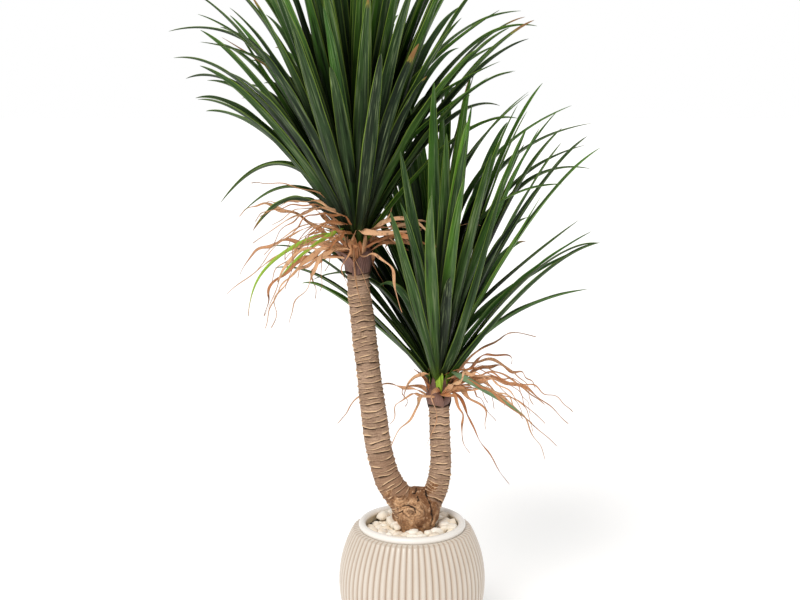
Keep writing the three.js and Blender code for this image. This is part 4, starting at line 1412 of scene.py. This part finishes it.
def grow_more(name, taken, placed):
    """Free blades at drawn ages, shorter than the main ones, each kept only if nothing touches it."""
    chance = seeded(MORE_BLADES[name]["seed"])
    grown = []
    for i in range(MORE_BLADES[name]["tries"]):
        chances = draws(chance, 7)
        series = partial(free_blade, name, i, 0.02 + 0.96 * chances[6], chances)
        place(name, name, series, taken, grown, least_own=-0.5, nested=2)
    kept = [blade for blade in grown
            if in_box(blade) and not hides_collar(name, blade) and not fills_gap(name, blade)]
    placed[name] += kept
    return len(kept)


for name in HEADS:
    print(grow_more(name, taken, placed), "more blades in the", name, "head")

# %% [markdown]
# ## From a blade's line to its body
# A leaf is a thin closed shell. Its middle sheet is a grid: one parameter runs along the line and the
# other across it. The upper skin lies a little above the sheet, the lower one a little below, and
# they meet at the margins and in the tip. A Solidify modifier would give square margins, where a
# leaf's are sharp.

# %% Shells of leaves
def together(blades):
    """The numbers of many blades as arrays, shaped so that one call works out all of them."""
    packed = {key: np.array([blade[key] for blade in blades], float)[:, None]
              for key in ("root", "bend", "tip", "side", "width", "twist")}
    for key in ("wave", "waves", "phase"):
        packed[key] = np.array([blade[key] for blade in blades], float)[:, None, None]
    return packed


def shell_rings(sheet, over, half_thick):
    """Rings round a sheet (copies, rows, columns, 3): over its upper skin and back under it."""
    upper = (sheet + over * half_thick[..., None])[:, :, ::-1]
    lower = (sheet - over * half_thick[..., None])[:, :, 1:-1]
    return np.concatenate([upper, lower], axis=2)


def swept(middle, across, over, half, flat, rise):
    """A section carried along lines: middle + across·half·flat + over·half·rise."""
    flat, rise = half[..., None] * flat, half[..., None] * rise
    return middle[:, :, None] + across[:, :, None] * flat[..., None] + over[:, :, None] * rise[..., None]


def thinning(thick, u, shares, speed, least, shape):
    """Half the thickness of a leaf: thick·sqrt(1 - u²), less over the last part to the tip."""
    to_tip = np.clip((1 - shares) * speed, least, 1)[:, None]
    return np.broadcast_to(thick * np.sqrt(np.clip(1 - u**2, 0, 1)) * to_tip, shape)


def ring_values(values):
    """A value per sheet point, in the order of shell_rings."""
    return np.concatenate([values[:, :, ::-1], values[:, :, 1:-1]], axis=2)


def whole_sheets(shape, **values):
    """Each value for every point of the sheets."""
    return {title: np.broadcast_to(value, shape) for title, value in values.items()}


def with_poles(values, foot, top):
    """Values of rings (copies, rows, around) with one more for each of the two poles."""
    copies = values.shape[0]
    foot = np.broadcast_to(foot, (copies,))[:, None]
    top = np.broadcast_to(top, (copies,))[:, None]
    return np.concatenate([values.reshape(copies, -1), foot, top], axis=1).ravel()


def joined(parts):
    """Points, faces and values of several grids as one mesh's."""
    points = np.concatenate([part[0] for part in parts])
    starts = np.cumsum([0] + [len(part[0]) for part in parts[:-1]])
    faces = [group + start for part, start in zip(parts, starts) for group in part[1]]
    values = {title: np.concatenate([part[2][title] for part in parts]) for title in parts[0][2]}
    return points, faces, values


print("a sheet of 9 columns makes rings of", ring_values(np.zeros((1, 1, 9))).size, "points")

# %% [markdown]
# ## The green heads
# A sword blade is folded along its middle like a gutter, most at its foot. The lamps alone leave the
# inside of a head too light, so each point gets the number of layers of leaf over it, measured from
# the blades themselves, and its colour is darkened by it: painted shade deep in the head.

# %% Layers of leaf over a point
COVER_CELL, COVER_STEPS = 22.0, 6


def leaf_cover(points, middle, widths, axis):
    """How many layers of leaf lie outside each point, straight away from the head's axis.

    The blades' area is summed up in cubes and spread a little, and some steps outward from a point
    add up what the cubes there hold.
    """
    cell = COVER_CELL
    steps = np.linalg.norm(np.diff(middle, axis=1), axis=2, keepdims=True)[..., 0]
    areas = widths[:, 1:] * steps / cell**2
    low = middle.reshape(-1, 3).min(axis=0) - 2 * cell
    spots = ((middle[:, 1:] - low) / cell).astype(int).reshape(-1, 3)
    cubes = np.zeros(spots.max(axis=0) + 3)
    np.add.at(cubes, tuple(spots.T), areas.ravel())
    for way in range(3):
        cubes = (np.roll(cubes, 1, way) + 2 * cubes + np.roll(cubes, -1, way)) / 4
    out = unit((points - axis) * [1, 1, 0.3])
    cover = np.zeros(points.shape[:-1])
    for step in range(1, COVER_STEPS + 1):
        place = (points + out * step * cell - low) / cell - 0.5
        corner = np.clip(np.floor(place), 0, np.array(cubes.shape) - 2).astype(int)
        part = np.clip(place - corner, 0, 1)
        for x, y, z in np.ndindex(2, 2, 2):
            near = np.abs(part - (1 - np.array([x, y, z]))).prod(axis=-1)
            cover += near * cubes[corner[..., 0] + x, corner[..., 1] + y, corner[..., 2] + z]
    return cover


print("leaf area is summed up in cubes of", COVER_CELL, "mm, along", COVER_CELL * COVER_STEPS, "mm")

# %% Green blades
BLADE_ROWS = 36
BLADE_COLUMNS = np.array([-1, -0.9, -0.62, -0.28, 0, 0.28, 0.62, 0.9, 1.0])
GREEN_ROOT_SHARE = 0.66
GREEN_HALF_THICK = 0.55
FRESH_SHARE = {"tall": 0.10, "short": 0.26}
BROWNED_SHARE = 0.09


def channel(across):
    """The height of a blade's section: a V with a rounded keel, sqrt(u² + 0.006) less its mean."""
    return np.sqrt(across**2 + 0.006) - 0.5


def green_blades(name, blades, seed):
    """Sword blades: a channelled section carried along each blade's line.

    The channel shallows towards the tip, the margins ripple by 0.07·u² of the half width, and the
    blade rolls slowly to one side by a drawn angle times the share².
    """
    chance = np.random.default_rng(seed)
    count = len(blades)
    many = together(blades)
    shares = np.linspace(0, 1, BLADE_ROWS + 1)[:-1] ** 0.94
    shares = shares * 0.994 / shares[-1]
    roll = chance.uniform(-0.55, 0.55, (count, 1)) * shares**2
    middle = blade_points(many, shares)
    across, over = blade_frames(many, shares, roll)
    half = blade_widths(many, shares, GREEN_ROOT_SHARE) / 2
    fold = mixed(0.95, 0.62, smooth_step(shares, 0, 0.35)) * chance.uniform(0.7, 1.3, (count, 1))
    u = BLADE_COLUMNS
    waves = chance.uniform(2, 5, (count, 1, 1)) * 2 * math.pi * shares[:, None]
    rippled = 0.07 * np.sin(waves + any_turn(chance, (count, 1, 1)) + u) * u**2
    sheet = swept(middle, across, over, half, u, fold[..., None] * channel(u) + rippled)
    size = sheet.shape[:3]
    rings = shell_rings(sheet, over[:, :, None], thinning(GREEN_HALF_THICK, u, shares, 12, 0.15, size))
    young = (many["root"][:, 0, 2] - head_base(name)[2]) / (HEADS[name]["crown"] - 40)
    stray = chance.normal(-0.04, 0.16, count)
    lighter = 0.6 * (chance.random(count) < FRESH_SHARE[name])
    fresh = np.clip(young * 0.9 + stray + lighter, 0, 1)
    is_browned = chance.random(count) < BROWNED_SHARE
    browned = np.where(is_browned, chance.uniform(0.82, 0.97, count), 1.05)
    cover = leaf_cover(sheet, middle, 2 * half, head_base(name))
    print(name, "head: layers of leaf outside a point, at the middle and the top tenth:",
          np.percentile(cover, [50, 90]).round(2))
    brown_from = browned[:, None, None]
    withered = smooth_step(shares[:, None] + 0.02 * np.sin(9 * u), brown_from, brown_from + 0.035)
    values = whole_sheets(size, across=u, along=shares[:, None], tone=chance.random(count)[:, None, None],
                          fresh=fresh[:, None, None], withered=withered, cover=cover)
    ends = {"across": (0, 0), "along": (0, 1), "tone": (0.5, 0.5), "fresh": (0.5, 0.5), "cover": (2, 0),
            "withered": (0, withered[:, -1, 0])}
    values = {title: with_poles(ring_values(numbers), *ends[title]) for title, numbers in values.items()}
    foot = middle[:, 0] - unit(middle[:, 1] - middle[:, 0]) * 0.5
    points = tube_points(rings, foot, many["tip"][:, 0])
    return points, tube_faces(count, BLADE_ROWS, rings.shape[2]), values


# %% [markdown]
# The blades stand on a crown, a green stem that tapers inside the head. Little of it shows, so a
# lathe form with shallow creases is enough.

# %% The crown inside each head
def turned_stem(name, outline, columns=28):
    """A stem on the head's axis, with shallow creases where leaves were."""
    top = np.array(CANES[name]["line"][-1], float)
    outline = np.array(outline, float)
    angle = np.linspace(0, 2 * math.pi, columns, endpoint=False)
    crease = 1 + 0.05 * np.sin(5 * angle + outline[:, 1:] / 7)
    radius = outline[:, :1] * crease
    rings = np.stack([
        top[0] + radius * np.cos(angle), top[1] + radius * np.sin(angle),
        np.broadcast_to(top[2] + outline[:, 1:], radius.shape),
    ], axis=-1)[None]
    poles = [np.array([[top[0], top[1], rings[0, row, 0, 2]]]) for row in (0, -1)]
    points = tube_points(rings, *poles)
    return points, tube_faces(1, len(outline), columns)


def crown_stem(name):
    collar = HEADS[name]["collar"]
    crown = HEADS[name]["crown"]
    outline = [[15, -6], [16, 8], [17, collar * 0.5], [15, collar], [14.5, collar + 15],
               [12, collar + crown * 0.35], [9, collar + crown * 0.6], [4, collar + crown * 0.78]]
    points, faces = turned_stem(name, outline)
    # The crown stem counts as under one layer of leaf, for its painted shade.
    even = {"across": 0.3, "along": 0.0, "tone": 0.4, "fresh": 0.35, "withered": 0.0, "cover": 1.0}
    values = {title: np.full(len(points), value) for title, value in even.items()}
    return points, faces, values


print("a crown has", len(crown_stem("tall")[0]), "points")

# %% [markdown]
# A yucca blade is dark bottle green with fine veins, a thin yellow margin and a lime foot.
# Veins and streaks run over the leaf's own length and width, so they follow each blade however it
# bends; the pale streaks are painted highlights and the near-black ones painted shade. One half of
# each blade is painted lighter as a painted lit side, and blades deep in a head are painted darker
# as painted shade. Younger blades are a lighter, yellower green, and a few tips have withered to brown.

# %% Green leaf finish
VEINS = 46.0


def green_leaf():
    finish = Finish("green_leaf")
    across, along, tone = finish.values("across", "along", "tone")
    fresh, withered, cover = finish.values("fresh", "withered", "cover")
    side = finish.math("ABSOLUTE", across)
    clouds = finish.noise(14, 4)
    flecks = finish.noise(170, 3)
    down_leaf = finish.add("CombineXYZ", {
        "X": finish.math("MULTIPLY", across, 2.6), "Y": finish.math("MULTIPLY", along, 3.0),
        "Z": finish.math("MULTIPLY", tone, 60.0),
    })
    streaks = finish.noise(1.6, 4, down_leaf)
    bent = finish.math("MULTIPLY_ADD", clouds, 2.0, finish.math("MULTIPLY", across, VEINS))
    veins = finish.math("SINE", bent)
    old = finish.mix(tone, (13, 27, 15), (36, 54, 27))
    new = finish.mix(tone, (48, 98, 16), (94, 146, 34))
    base = finish.mix(fresh, old, new)
    # One half of each blade, across its fold, is painted lighter: a painted lit side.
    uneven = finish.math("ADD", across, finish.math("SUBTRACT", clouds, 0.5))
    base = finish.layers(base, [
        (uneven, -0.3, 0.5, 0.38, (70, 92, 66)),
        # The pale blue-green streaks are painted highlights and the near-black ones painted shade; the same
        # noise also gives the bump.
        (streaks, 0.54, 0.70, 0.65, (146, 162, 116)),
        (streaks, 0.48, 0.34, 0.85, (3, 7, 1)),
        (veins, 0.3, 1.0, 0.14, (104, 124, 92)),
    ])
    by_tone = finish.span(tone, 0.0, 0.4, 0.35, 0.95)
    pale_edge = finish.math("MULTIPLY", finish.span(side, 0.84, 0.94), by_tone)
    base = finish.mix(pale_edge, base, (132, 160, 62))
    foot = finish.span(along, 0.10, 0.0, 0, 0.7, smooth=True)
    base = finish.mix(foot, base, finish.mix(fresh, (88, 112, 46), (128, 178, 52)))
    base = finish.layers(base, [
        (flecks, 0.70, 0.76, 0.35, (150, 156, 104)),
        # Points under many layers of leaf are painted near black: painted shade.
        (cover, 0.25, 1.7, 0.87, (3, 6, 2)),
    ])
    brown = finish.mix(clouds, (110, 76, 44), (176, 134, 84))
    edge = finish.math("MULTIPLY", finish.span(withered, 0.05, 0.4),
                       finish.span(withered, 0.8, 0.45))
    colour = finish.mix(withered, base, brown)
    colour = finish.mix(finish.math("MULTIPLY", edge, 0.6), colour, (160, 150, 60))
    bump = finish.bump(finish.math("MULTIPLY_ADD", veins, 0.25, streaks), 0.0005, 0.5)
    roughness = finish.span(clouds, 0.3, 0.7, 0.26, 0.42)
    return finish.set(colour=colour, roughness=roughness, normal=bump, shine=0.10)


leaf_finish = green_leaf()
for name, seed in (("tall", 31), ("short", 32)):
    head = joined([green_blades(name, placed[name], seed), crown_stem(name)])
    new_piece(f"{name}_blades", *head, leaf_finish, "leaves", f"{name}_head_leaves")

# %% [markdown]
# ## Dry leaves
# Old leaves die from the tip and hang under the head as a skirt of curled, wavy ribbons. They use the
# solids' lines with more movement: kinks every few centimetres, a roll to and fro, and a section that
# curls into a gutter.

# %% Curled ribbons
DRY_ROWS = 50
DRY_COLUMNS = np.array([-1, -0.7, -0.35, 0, 0.35, 0.7, 1.0])
KINK, DRY_HALF_THICK, LEAST_HALF_WIDTH = 4.0, 0.5, 0.9
CALMED = 0.85
# How long the waves are along a leaf, in millimetres: roll, kinks, width and curl.
WAVE_LENGTHS = {"roll": 120, "sideways": 88, "up": 76, "width": 75, "curl": 95}


def run_waves(chance, count, runs, size, pieces=3):
    """A wave along each leaf: the mean of some sines of the run with lengths about the size."""
    total = np.zeros(runs.shape)
    for _ in range(pieces):
        pitch = size * chance.uniform(0.6, 1.7, (count, 1))
        total = total + np.sin(2 * math.pi * runs / pitch + any_turn(chance, (count, 1)))
    return total / pieces * 1.5


def extras(blades, title, plain=0.0):
    """A number that only some blades have, for all of them."""
    return np.array([blade.get(title, plain) for blade in blades])


def dry_leaves(blades, seed, kink=KINK, rows=DRY_ROWS):
    """Curled ribbons along the blades' lines.

    The line kinks by slow waves of its run, the roll is the solid's twist plus a wave, and the
    section is an arc: sin(curl·u)/curl across and (1 - cos(curl·u))/curl over. A calm leaf, which is
    still half alive, has only a sixth of these movements.
    """
    chance = np.random.default_rng(seed)
    count = len(blades)
    many = together(blades)
    shares = np.linspace(0, 1, rows + 1)[:-1]
    shares = shares * 0.996 / shares[-1]
    middle = blade_points(many, shares)
    steps = np.linalg.norm(np.diff(middle, axis=1), axis=2)
    runs = np.concatenate([np.zeros((count, 1)), np.cumsum(steps, axis=1)], axis=1)
    stir = 1 - CALMED * extras(blades, "calm")[:, None]
    roll = 1.1 * run_waves(chance, count, runs, WAVE_LENGTHS["roll"]) * smooth_step(shares, 0, 0.2)
    turned = extras(blades, "roll")[:, None]
    roll = (many["twist"] * shares + roll) * stir + turned * smooth_step(shares, 0, 0.15)
    across, over = blade_frames(many, shares, roll)
    free = smooth_step(shares, 0.04, 0.3) * (1 - 0.5 * smooth_step(shares, 0.85, 1.0)) * stir
    level, level_over = blade_frames(many, shares, 0 * roll)
    for way, title in ((level, "sideways"), (level_over, "up")):
        waves = run_waves(chance, count, runs, WAVE_LENGTHS[title])
        middle = middle + way * (kink * free * waves)[..., None]
    narrowing = np.clip(1 - shares**1.7, 0.12, 1)
    broad = mixed(0.95, 0.86, smooth_step(shares, 0.02, 0.3)) * narrowing
    waves = run_waves(chance, count, runs, WAVE_LENGTHS["width"])
    uneven = 1 + 0.2 * waves * smooth_step(shares, 0.1, 0.3) * stir
    half = np.maximum(many["width"] / 2 * broad * np.clip(uneven, 0.5, 1.5), LEAST_HALF_WIDTH)
    waves = run_waves(chance, count, runs, WAVE_LENGTHS["curl"])
    curl = np.clip((0.85 + 0.7 * waves) * stir, 0.15, 2.0)[..., None]
    u = DRY_COLUMNS
    flat = np.sin(curl * u) / curl
    rise = (1 - np.cos(curl * u)) / curl
    sheet = swept(middle, across, over, half, flat, rise)
    size = sheet.shape[:3]
    normal = across[:, :, None] * -np.sin(curl * u)[..., None]
    normal = normal + over[:, :, None] * np.cos(curl * u)[..., None]
    rings = shell_rings(sheet, normal, thinning(DRY_HALF_THICK, u, shares, 10, 0.25, size))
    tone = np.array([blade.get("tone", drawn) for blade, drawn in zip(blades, chance.random(count))])
    values = whole_sheets(size, across=u, along=shares[:, None], tone=tone[:, None, None],
                          live=extras(blades, "live")[:, None, None])
    values = {title: with_poles(ring_values(numbers), 0.5, 0.5 if title == "tone" else 0)
              for title, numbers in values.items()}
    points = tube_points(rings, middle[:, 0], middle[:, -1] + (middle[:, -1] - middle[:, -2]) * 0.5)
    return points, tube_faces(count, rows, rings.shape[2]), values


print("a ribbon has", DRY_ROWS * 2 * (len(DRY_COLUMNS) - 1) + 2, "points")

# %% [markdown]
# ## The collar
# Between the cane and the head sit the feet of the old leaves. The lowest are broad purple-brown
# bracts: each clasps much of the stem, bulges, and runs up to a blunt point. Above them stand
# orange-brown strips, the torn feet of leaves that have gone, and at the short head a few feet that
# are still lime green. A bract is a sheet bent round the stem: its columns are angles and its rows
# are heights.

# %% Clasping bracts
BRACT_ROWS, BRACT_COLUMNS = 20, 33
BAND_COLUMNS = 11
BRACT_HALF_THICK = 0.6


def bracts(name, plan, seed, columns=BRACT_COLUMNS, live=0):
    """Sheets bent round the stem.

    At the height share v the half angle is wrap·(1 - v^2.2)^0.6, and the radius bulges by
    bulge·sin(pi·v) and leans out by flare·v². Each row of the plan has azimuth, base, height,
    radius, wrap, bulge and flare.
    """
    chance = np.random.default_rng(seed)
    columns_of_plan = (np.array(column, float)[:, None, None] for column in zip(*plan))
    azimuth, base, tall, radius, wrap, bulge, flare = columns_of_plan
    top = np.array(CANES[name]["line"][-1], float)
    v = np.linspace(0, 0.985, BRACT_ROWS)[:, None]
    u = np.linspace(-1, 1, columns)
    turn = np.radians(wrap) * (1 - v**2.2) ** 0.6 * u
    count = len(plan)
    folds = 0.5 * np.sin(turn * 9 + any_turn(chance, (count, 1, 1)) + 3 * v)
    reach = radius + bulge * np.sin(math.pi * v) + flare * v**2 * np.cos(turn * 0.5)
    reach = reach + folds * (0.4 + v) + 0.9 * np.abs(u) ** 3
    angle = np.radians(azimuth) + turn
    height = top[2] + base + tall * v - 0.12 * tall * u**2 * (1 - v)
    out = np.stack([np.cos(angle), np.sin(angle), 0 * angle], axis=-1)
    sheet = top * [1, 1, 0] + out * reach[..., None] + UP * height[..., None]
    half_thick = np.broadcast_to(BRACT_HALF_THICK * (1 - u**8) ** 0.5, reach.shape) * (1 - 0.7 * v)
    rings = shell_rings(sheet[:, :, ::-1], out[:, :, ::-1], half_thick)
    tone = chance.uniform(0, 1, (count, 1, 1))
    values = whole_sheets(reach.shape, across=u, along=v, tone=tone, live=live)
    values = {title: with_poles(ring_values(numbers), 0.5, 1 if title == "along" else 0.5)
              for title, numbers in values.items()}
    foot = sheet[:, 0].mean(axis=1)
    tip = sheet[:, -1].mean(axis=1) + UP * 0.02 * tall[:, 0]
    return tube_points(rings, foot, tip), tube_faces(count, BRACT_ROWS, rings.shape[2]), values


print("a bract has", BRACT_ROWS * 2 * (BRACT_COLUMNS - 1) + 2, "points")

# %% [markdown]
# The bracts and strips in front are given one by one, since they show. The narrow feet between them
# follow the golden angle, with a gap in front of the short head for its lime feet.

# %% Plans of the collars
BRACT_PLANS = {
    "tall": [
        (-24, 0, 46, 22.8, 92, 3.0, 2), (-156, 3, 47, 23.2, 64, 1.5, 32), (80, -2, 36, 22.6, 90, 3.5, 6),
        (25, 10, 40, 20.0, 60, 2.5, 10), (150, 12, 42, 20.0, 60, 2.5, 8),
    ],
    "short": [
        (-130, 3, 37, 20.6, 68, 6.0, -4), (-20, 3, 28, 20.2, 58, 5.0, -4), (80, -3, 38, 20.6, 90, 4.0, 3),
        (20, 8, 36, 18.6, 60, 2.5, 6), (165, 8, 40, 18.6, 60, 2.5, 8),
    ],
}
FRONT_STRIPS = {
    "tall": [(-135, 20, 34, 20.5, 20, 1.0, 4), (-30, 24, 40, 20.0, 18, 1.0, 6)],
    "short": [
        (-124, 28, 36, 17.8, 17, 1.0, 2), (-56, 22, 38, 17.8, 17, 1.0, 2), (-8, 14, 38, 18.0, 20, 2.0, 12),
        (-150, 20, 36, 17.8, 16, 1.0, 8), (-92, 16, 26, 18.2, 15, 1.0, 1),
    ],
}
LIME_FEET = {
    "short": [
        (-170, 22, 54, 17.0, 15, 0.5, 4), (-93, 22, 54, 17.2, 17, 0.5, 1), (-40, 20, 56, 17.2, 15, 0.5, 3),
        (-108, 26, 50, 16.8, 14, 0.5, 1), (-72, 26, 50, 16.8, 14, 0.5, 1),
    ],
}
# How many narrow feet are planned, and the half angle in front that they leave open.
FOOT_BANDS = {"tall": (14, 0), "short": (9, 62)}


def foot_bands(name, seed):
    """A plan of narrow bracts: the flat feet of torn leaves, which hug the crown above the collar."""
    chance = np.random.default_rng(seed)
    count, open_front = FOOT_BANDS[name]
    plan = []
    for i in range(count):
        azimuth = -96 + math.degrees(i * GOLDEN_ANGLE)
        from_front = abs((azimuth + 90 + 180) % 360 - 180)
        if from_front < open_front:
            continue
        base = chance.uniform(6, 20)
        tall = HEADS[name]["collar"] - base + chance.uniform(4, 30)
        radius = 16.6 + 0.35 * (i % 8)
        wrap = chance.uniform(22, 34)
        plan.append((azimuth, base, tall, radius, wrap, 1.2, chance.uniform(1, 5)))
    return plan


for name in HEADS:
    print(name, "collar:", len(BRACT_PLANS[name]), "bracts and", len(foot_bands(name, 1)), "narrow feet")

# %% [markdown]
# Dry leaves are the colour of straw and cinnamon, with dark fibres along them, brown blotches and a
# darker tip. The value live says what is left of the green: 0 for dry, 1 for lime, 2 for grey-green.
# The bracts are purple-brown with fine ribs.

# %% Papery brown finishes
def dry_leaf():
    finish = Finish("dry_leaf")
    across, along, tone, live = finish.values("across", "along", "tone", "live")
    clouds = finish.noise(30, 4)
    blotches = finish.noise(70, 5, roughness=0.7)
    fibres = finish.math("MULTIPLY_ADD", clouds, 9.0, finish.math("MULTIPLY", across, 17.0))
    fibres = finish.math("SINE", fibres)
    base = finish.mix(tone, (250, 202, 156), (182, 114, 68))
    base = finish.layers(base, [
        (clouds, 0.35, 0.68, 0.4, (220, 150, 96)),
        (fibres, 0.1, 1.0, 0.4, (120, 74, 44)),
        (blotches, 0.55, 0.66, 0.7, (84, 50, 30)),
        (along, 0.7, 1.0, 0.35, (120, 74, 44)),
    ])
    lime = finish.mix(clouds, (142, 188, 40), (180, 212, 84))
    grey_green = finish.mix(clouds, (96, 126, 88), (128, 156, 112))
    alive = finish.mix(finish.span(live, 1.2, 1.8), lime, grey_green)
    dying = finish.math("MULTIPLY", finish.span(live, 0.3, 0.7), finish.span(along, 0.97, 0.80))
    colour = finish.mix(dying, base, alive)
    bump = finish.bump(finish.math("MULTIPLY_ADD", fibres, 0.6, blotches), 0.0008, 0.5)
    return finish.set(colour=colour, roughness=0.5, normal=bump, shine=0.35)


def papery_bract():
    finish = Finish("papery_bract")
    across, along, tone = finish.values("across", "along", "tone")
    clouds = finish.noise(40, 5)
    ribs = finish.math("MULTIPLY_ADD", clouds, 6.0, finish.math("MULTIPLY", across, 44.0))
    ribs = finish.math("SINE", ribs)
    base = finish.mix(tone, (112, 84, 78), (140, 104, 90))
    base = finish.layers(base, [
        (clouds, 0.35, 0.7, 0.6, (86, 60, 54)),
        (ribs, 0.2, 1.0, 0.3, (160, 128, 112)),
    ])
    side = finish.math("ABSOLUTE", across)
    colour = finish.layers(base, [
        (side, 0.93, 1.0, 0.7, (78, 46, 36)),
        (along, 0.8, 1.0, 0.5, (66, 42, 34)),
    ])
    bump = finish.bump(finish.math("MULTIPLY_ADD", ribs, 0.5, clouds), 0.0009, 0.6)
    return finish.set(colour=colour, roughness=0.6, normal=bump, shine=0.3)


dry_finish = dry_leaf()
bract_finish = papery_bract()
print("made", dry_finish.name, "and", bract_finish.name)

# %% [markdown]
# Round the crown, but not in front, stand the stiff feet of leaves that have broken off: short dry
# blades on steep lines.

# %% Torn leaf feet
LEAF_FEET = 18


def leaf_feet(name, seed):
    """Short strips that hug the crown: blades with their lines given by a steep rise."""
    chance = np.random.default_rng(seed)
    feet = []
    for i in range(LEAF_FEET):
        azimuth = i * GOLDEN_ANGLE + chance.uniform(-0.2, 0.2)
        if math.sin(azimuth) < -0.5:
            continue
        shape = dry_shape(chance.uniform(12, 20), i, (0.0, 0.2, chance.random()))
        shape.update(twist=chance.uniform(-0.2, 0.2), wave=0, tone=chance.uniform(0.3, 1.0))
        foot = new_blade(name, azimuth, 16.5, -HEADS[name]["collar"] * chance.uniform(0.2, 0.5), shape)
        length = chance.uniform(34, 70)
        rise, fall = chance.uniform(66, 80), chance.uniform(20, 70)
        feet.append(bent_over(foot, length, rise, 0.6, fall, 0.5))
    return feet


print(len(leaf_feet("tall", 1)), "of", LEAF_FEET, "feet stand outside the front")

# %% [markdown]
# A real skirt is a tangle: thinner leaves hang between the longest ones. They are drawn from ranges,
# and kept where they stay clear of what is placed and of the collar's front. A few that show singly
# are given by three points from the head's base, root, bend and tip, and by width, roll and live.

# %% Thin dry leaves
# Tries, seed, and the ranges of azimuth, height, rise, fall, length and width.
THIN_DRY = {
    "tall": [
        (26, 61, (125, 255), (-6, 66), (4, 46), (-84, -30), (130, 300), (6, 11)),
        (16, 62, (-70, 70), (-16, 30), (-10, 46), (-84, -10), (110, 260), (5, 10)),
        (12, 65, (150, 215), (44, 88), (26, 60), (-60, 12), (130, 230), (6, 9)),
    ],
    "short": [(15, 63, (-50, 60), (-14, 26), (4, 44), (-70, -22), (180, 340), (6, 10))],
}
# The half width before each collar that no thin leaf crosses, and the heights that it holds for.
COLLAR_FRONT = {"tall": 27, "short": 36}
COLLAR_LEVEL = (-75, 20)
SINGLE_LEAVES = {
    "tall": [
        ((-28, -17, 34), (-109, -54, 0), (-153, -62, -63), 13, 1.2, 1),
        ((-38, -7, 28), (-206, -32, -6), (-213, -37, -135), 12, 1.2, 1),
        ((-6, -26, 12), (-10, -42, -62), (12, -30, -126), 13, 0, 0),
        ((-7, -33, -20), (12, -38, -47), (28, -30, -105), 10, 0, 0),
        ((-24, -29, 21), (-23, -34, -3), (-5, -34, -16), 6, 0, 0),
        ((-8, -23, -19), (-14, -28, 8), (-2, -29, 33), 15, 0, 0),
        ((5, -27, 32), (48, -47, 24), (124, -27, 33), 15, 1.3, 0),
        ((33, -19, 34), (62, -28, 49), (68, -33, 78), 12, 0.9, 0),
        ((27, -22, 34), (115, -40, 92), (152, -47, 2), 12, 1.3, 0),
        ((-26, -25, 13), (-31, -30, 30), (-38, -31, 51), 11, 0, 2),
    ],
    "short": [
        ((-21, -25, 31), (-68, -38, 35), (-71, -40, -17), 13, 1.2, 0),
        ((26, -28, 36), (117, -61, -3), (182, -90, -53), 15, 1.25, 2),
    ],
}


def thin_dry_leaf(name, ranges, index, chances, swing):
    """A dry leaf with each of its numbers drawn from a range."""
    azimuths, heights, rises, falls, lengths, widths = ranges
    azimuth = math.radians(mixed(*azimuths, chances[0]) + 4 * swing)
    shape = dry_shape(mixed(*widths, chances[3]), index, chances[1:4])
    blade = new_blade(name, azimuth, CROWN_RADIUS * 0.8, mixed(*heights, chances[4]), shape)
    rise, fall = mixed(*rises, chances[6]), mixed(*falls, chances[7])
    return bent_over(blade, mixed(*lengths, chances[5]), rise, 0.5, fall, 0.55)


def before_collar(name, blade):
    """Whether a leaf passes in front of its head's collar."""
    x, y, z = (blade_points(blade, np.linspace(0, 1, 40)) - head_base(name)).T
    low, high = COLLAR_LEVEL
    return bool(np.any((z > low) & (z < high) & (np.abs(x) < COLLAR_FRONT[name]) & (y < -14)))


def thin_dry_leaves(name, taken):
    """Leaves drawn from each set of ranges, kept if they are inside the box and nearly clear."""
    grown = []
    for tries, seed, *ranges in THIN_DRY[name]:
        chance = seeded(seed)
        for i in range(tries):
            series = partial(thin_dry_leaf, name, ranges, i, draws(chance, 8))
            place(f"{name} skirt", name, series, taken, grown, least_own=-6, nested=2)
    return [blade for blade in grown if in_box(blade, 9.0) and not before_collar(name, blade)]


def single_leaf(name, row):
    """A leaf given by its three points. It keeps its own roll and is calmer than the others."""
    *points, width, roll, live = row
    root, bend, tip = (head_base(name) + np.array(point, float) for point in points)
    out = unit((tip - root) * [1, 1, 0])
    return {
        "root": root, "bend": bend, "tip": tip, "side": np.array([-out[1], out[0], 0.0]),
        "width": width, "twist": 0.5, "wave": 0, "waves": 0, "phase": 0,
        "roll": roll, "live": live, "tone": 0.1, "calm": 1.0,
    }


for name, rows in SINGLE_LEAVES.items():
    print(len(rows), "single leaves under the", name, "head")

# %% [markdown]
# Each skirt is two pieces: ribbons, feet and bands in straw, and bracts in purple-brown. One dry
# leaf is turned so that its edge shows.

# %% Put the skirts together
EDGE_ON = 15
placed["short dry"][EDGE_ON].update(roll=1.35, calm=0.8)
for name, seed in (("tall", 41), ("short", 42)):
    thin = thin_dry_leaves(name, taken)
    print(len(thin), "thin dry leaves under the", name, "head")
    singles = [single_leaf(name, row) for row in SINGLE_LEAVES[name]]
    ribbons = dry_leaves(placed[f"{name} dry"] + thin + singles, seed)
    feet = dry_leaves(leaf_feet(name, seed + 10), seed + 20, kink=0.6, rows=18)
    bands = bracts(name, foot_bands(name, seed + 40), seed + 50, BAND_COLUMNS)
    parts = [ribbons, feet, bands]
    if name in LIME_FEET:
        parts.append(bracts(name, LIME_FEET[name], seed + 60, BAND_COLUMNS, live=1))
    skirt = f"{name}_head_dry_skirt"
    new_piece(f"{name}_dry_leaves", *joined(parts), dry_finish, "dry_leaves", skirt)
    collar = bracts(name, BRACT_PLANS[name] + FRONT_STRIPS[name], seed + 30)
    new_piece(f"{name}_bracts", *collar, bract_finish, "dry_leaves", skirt)
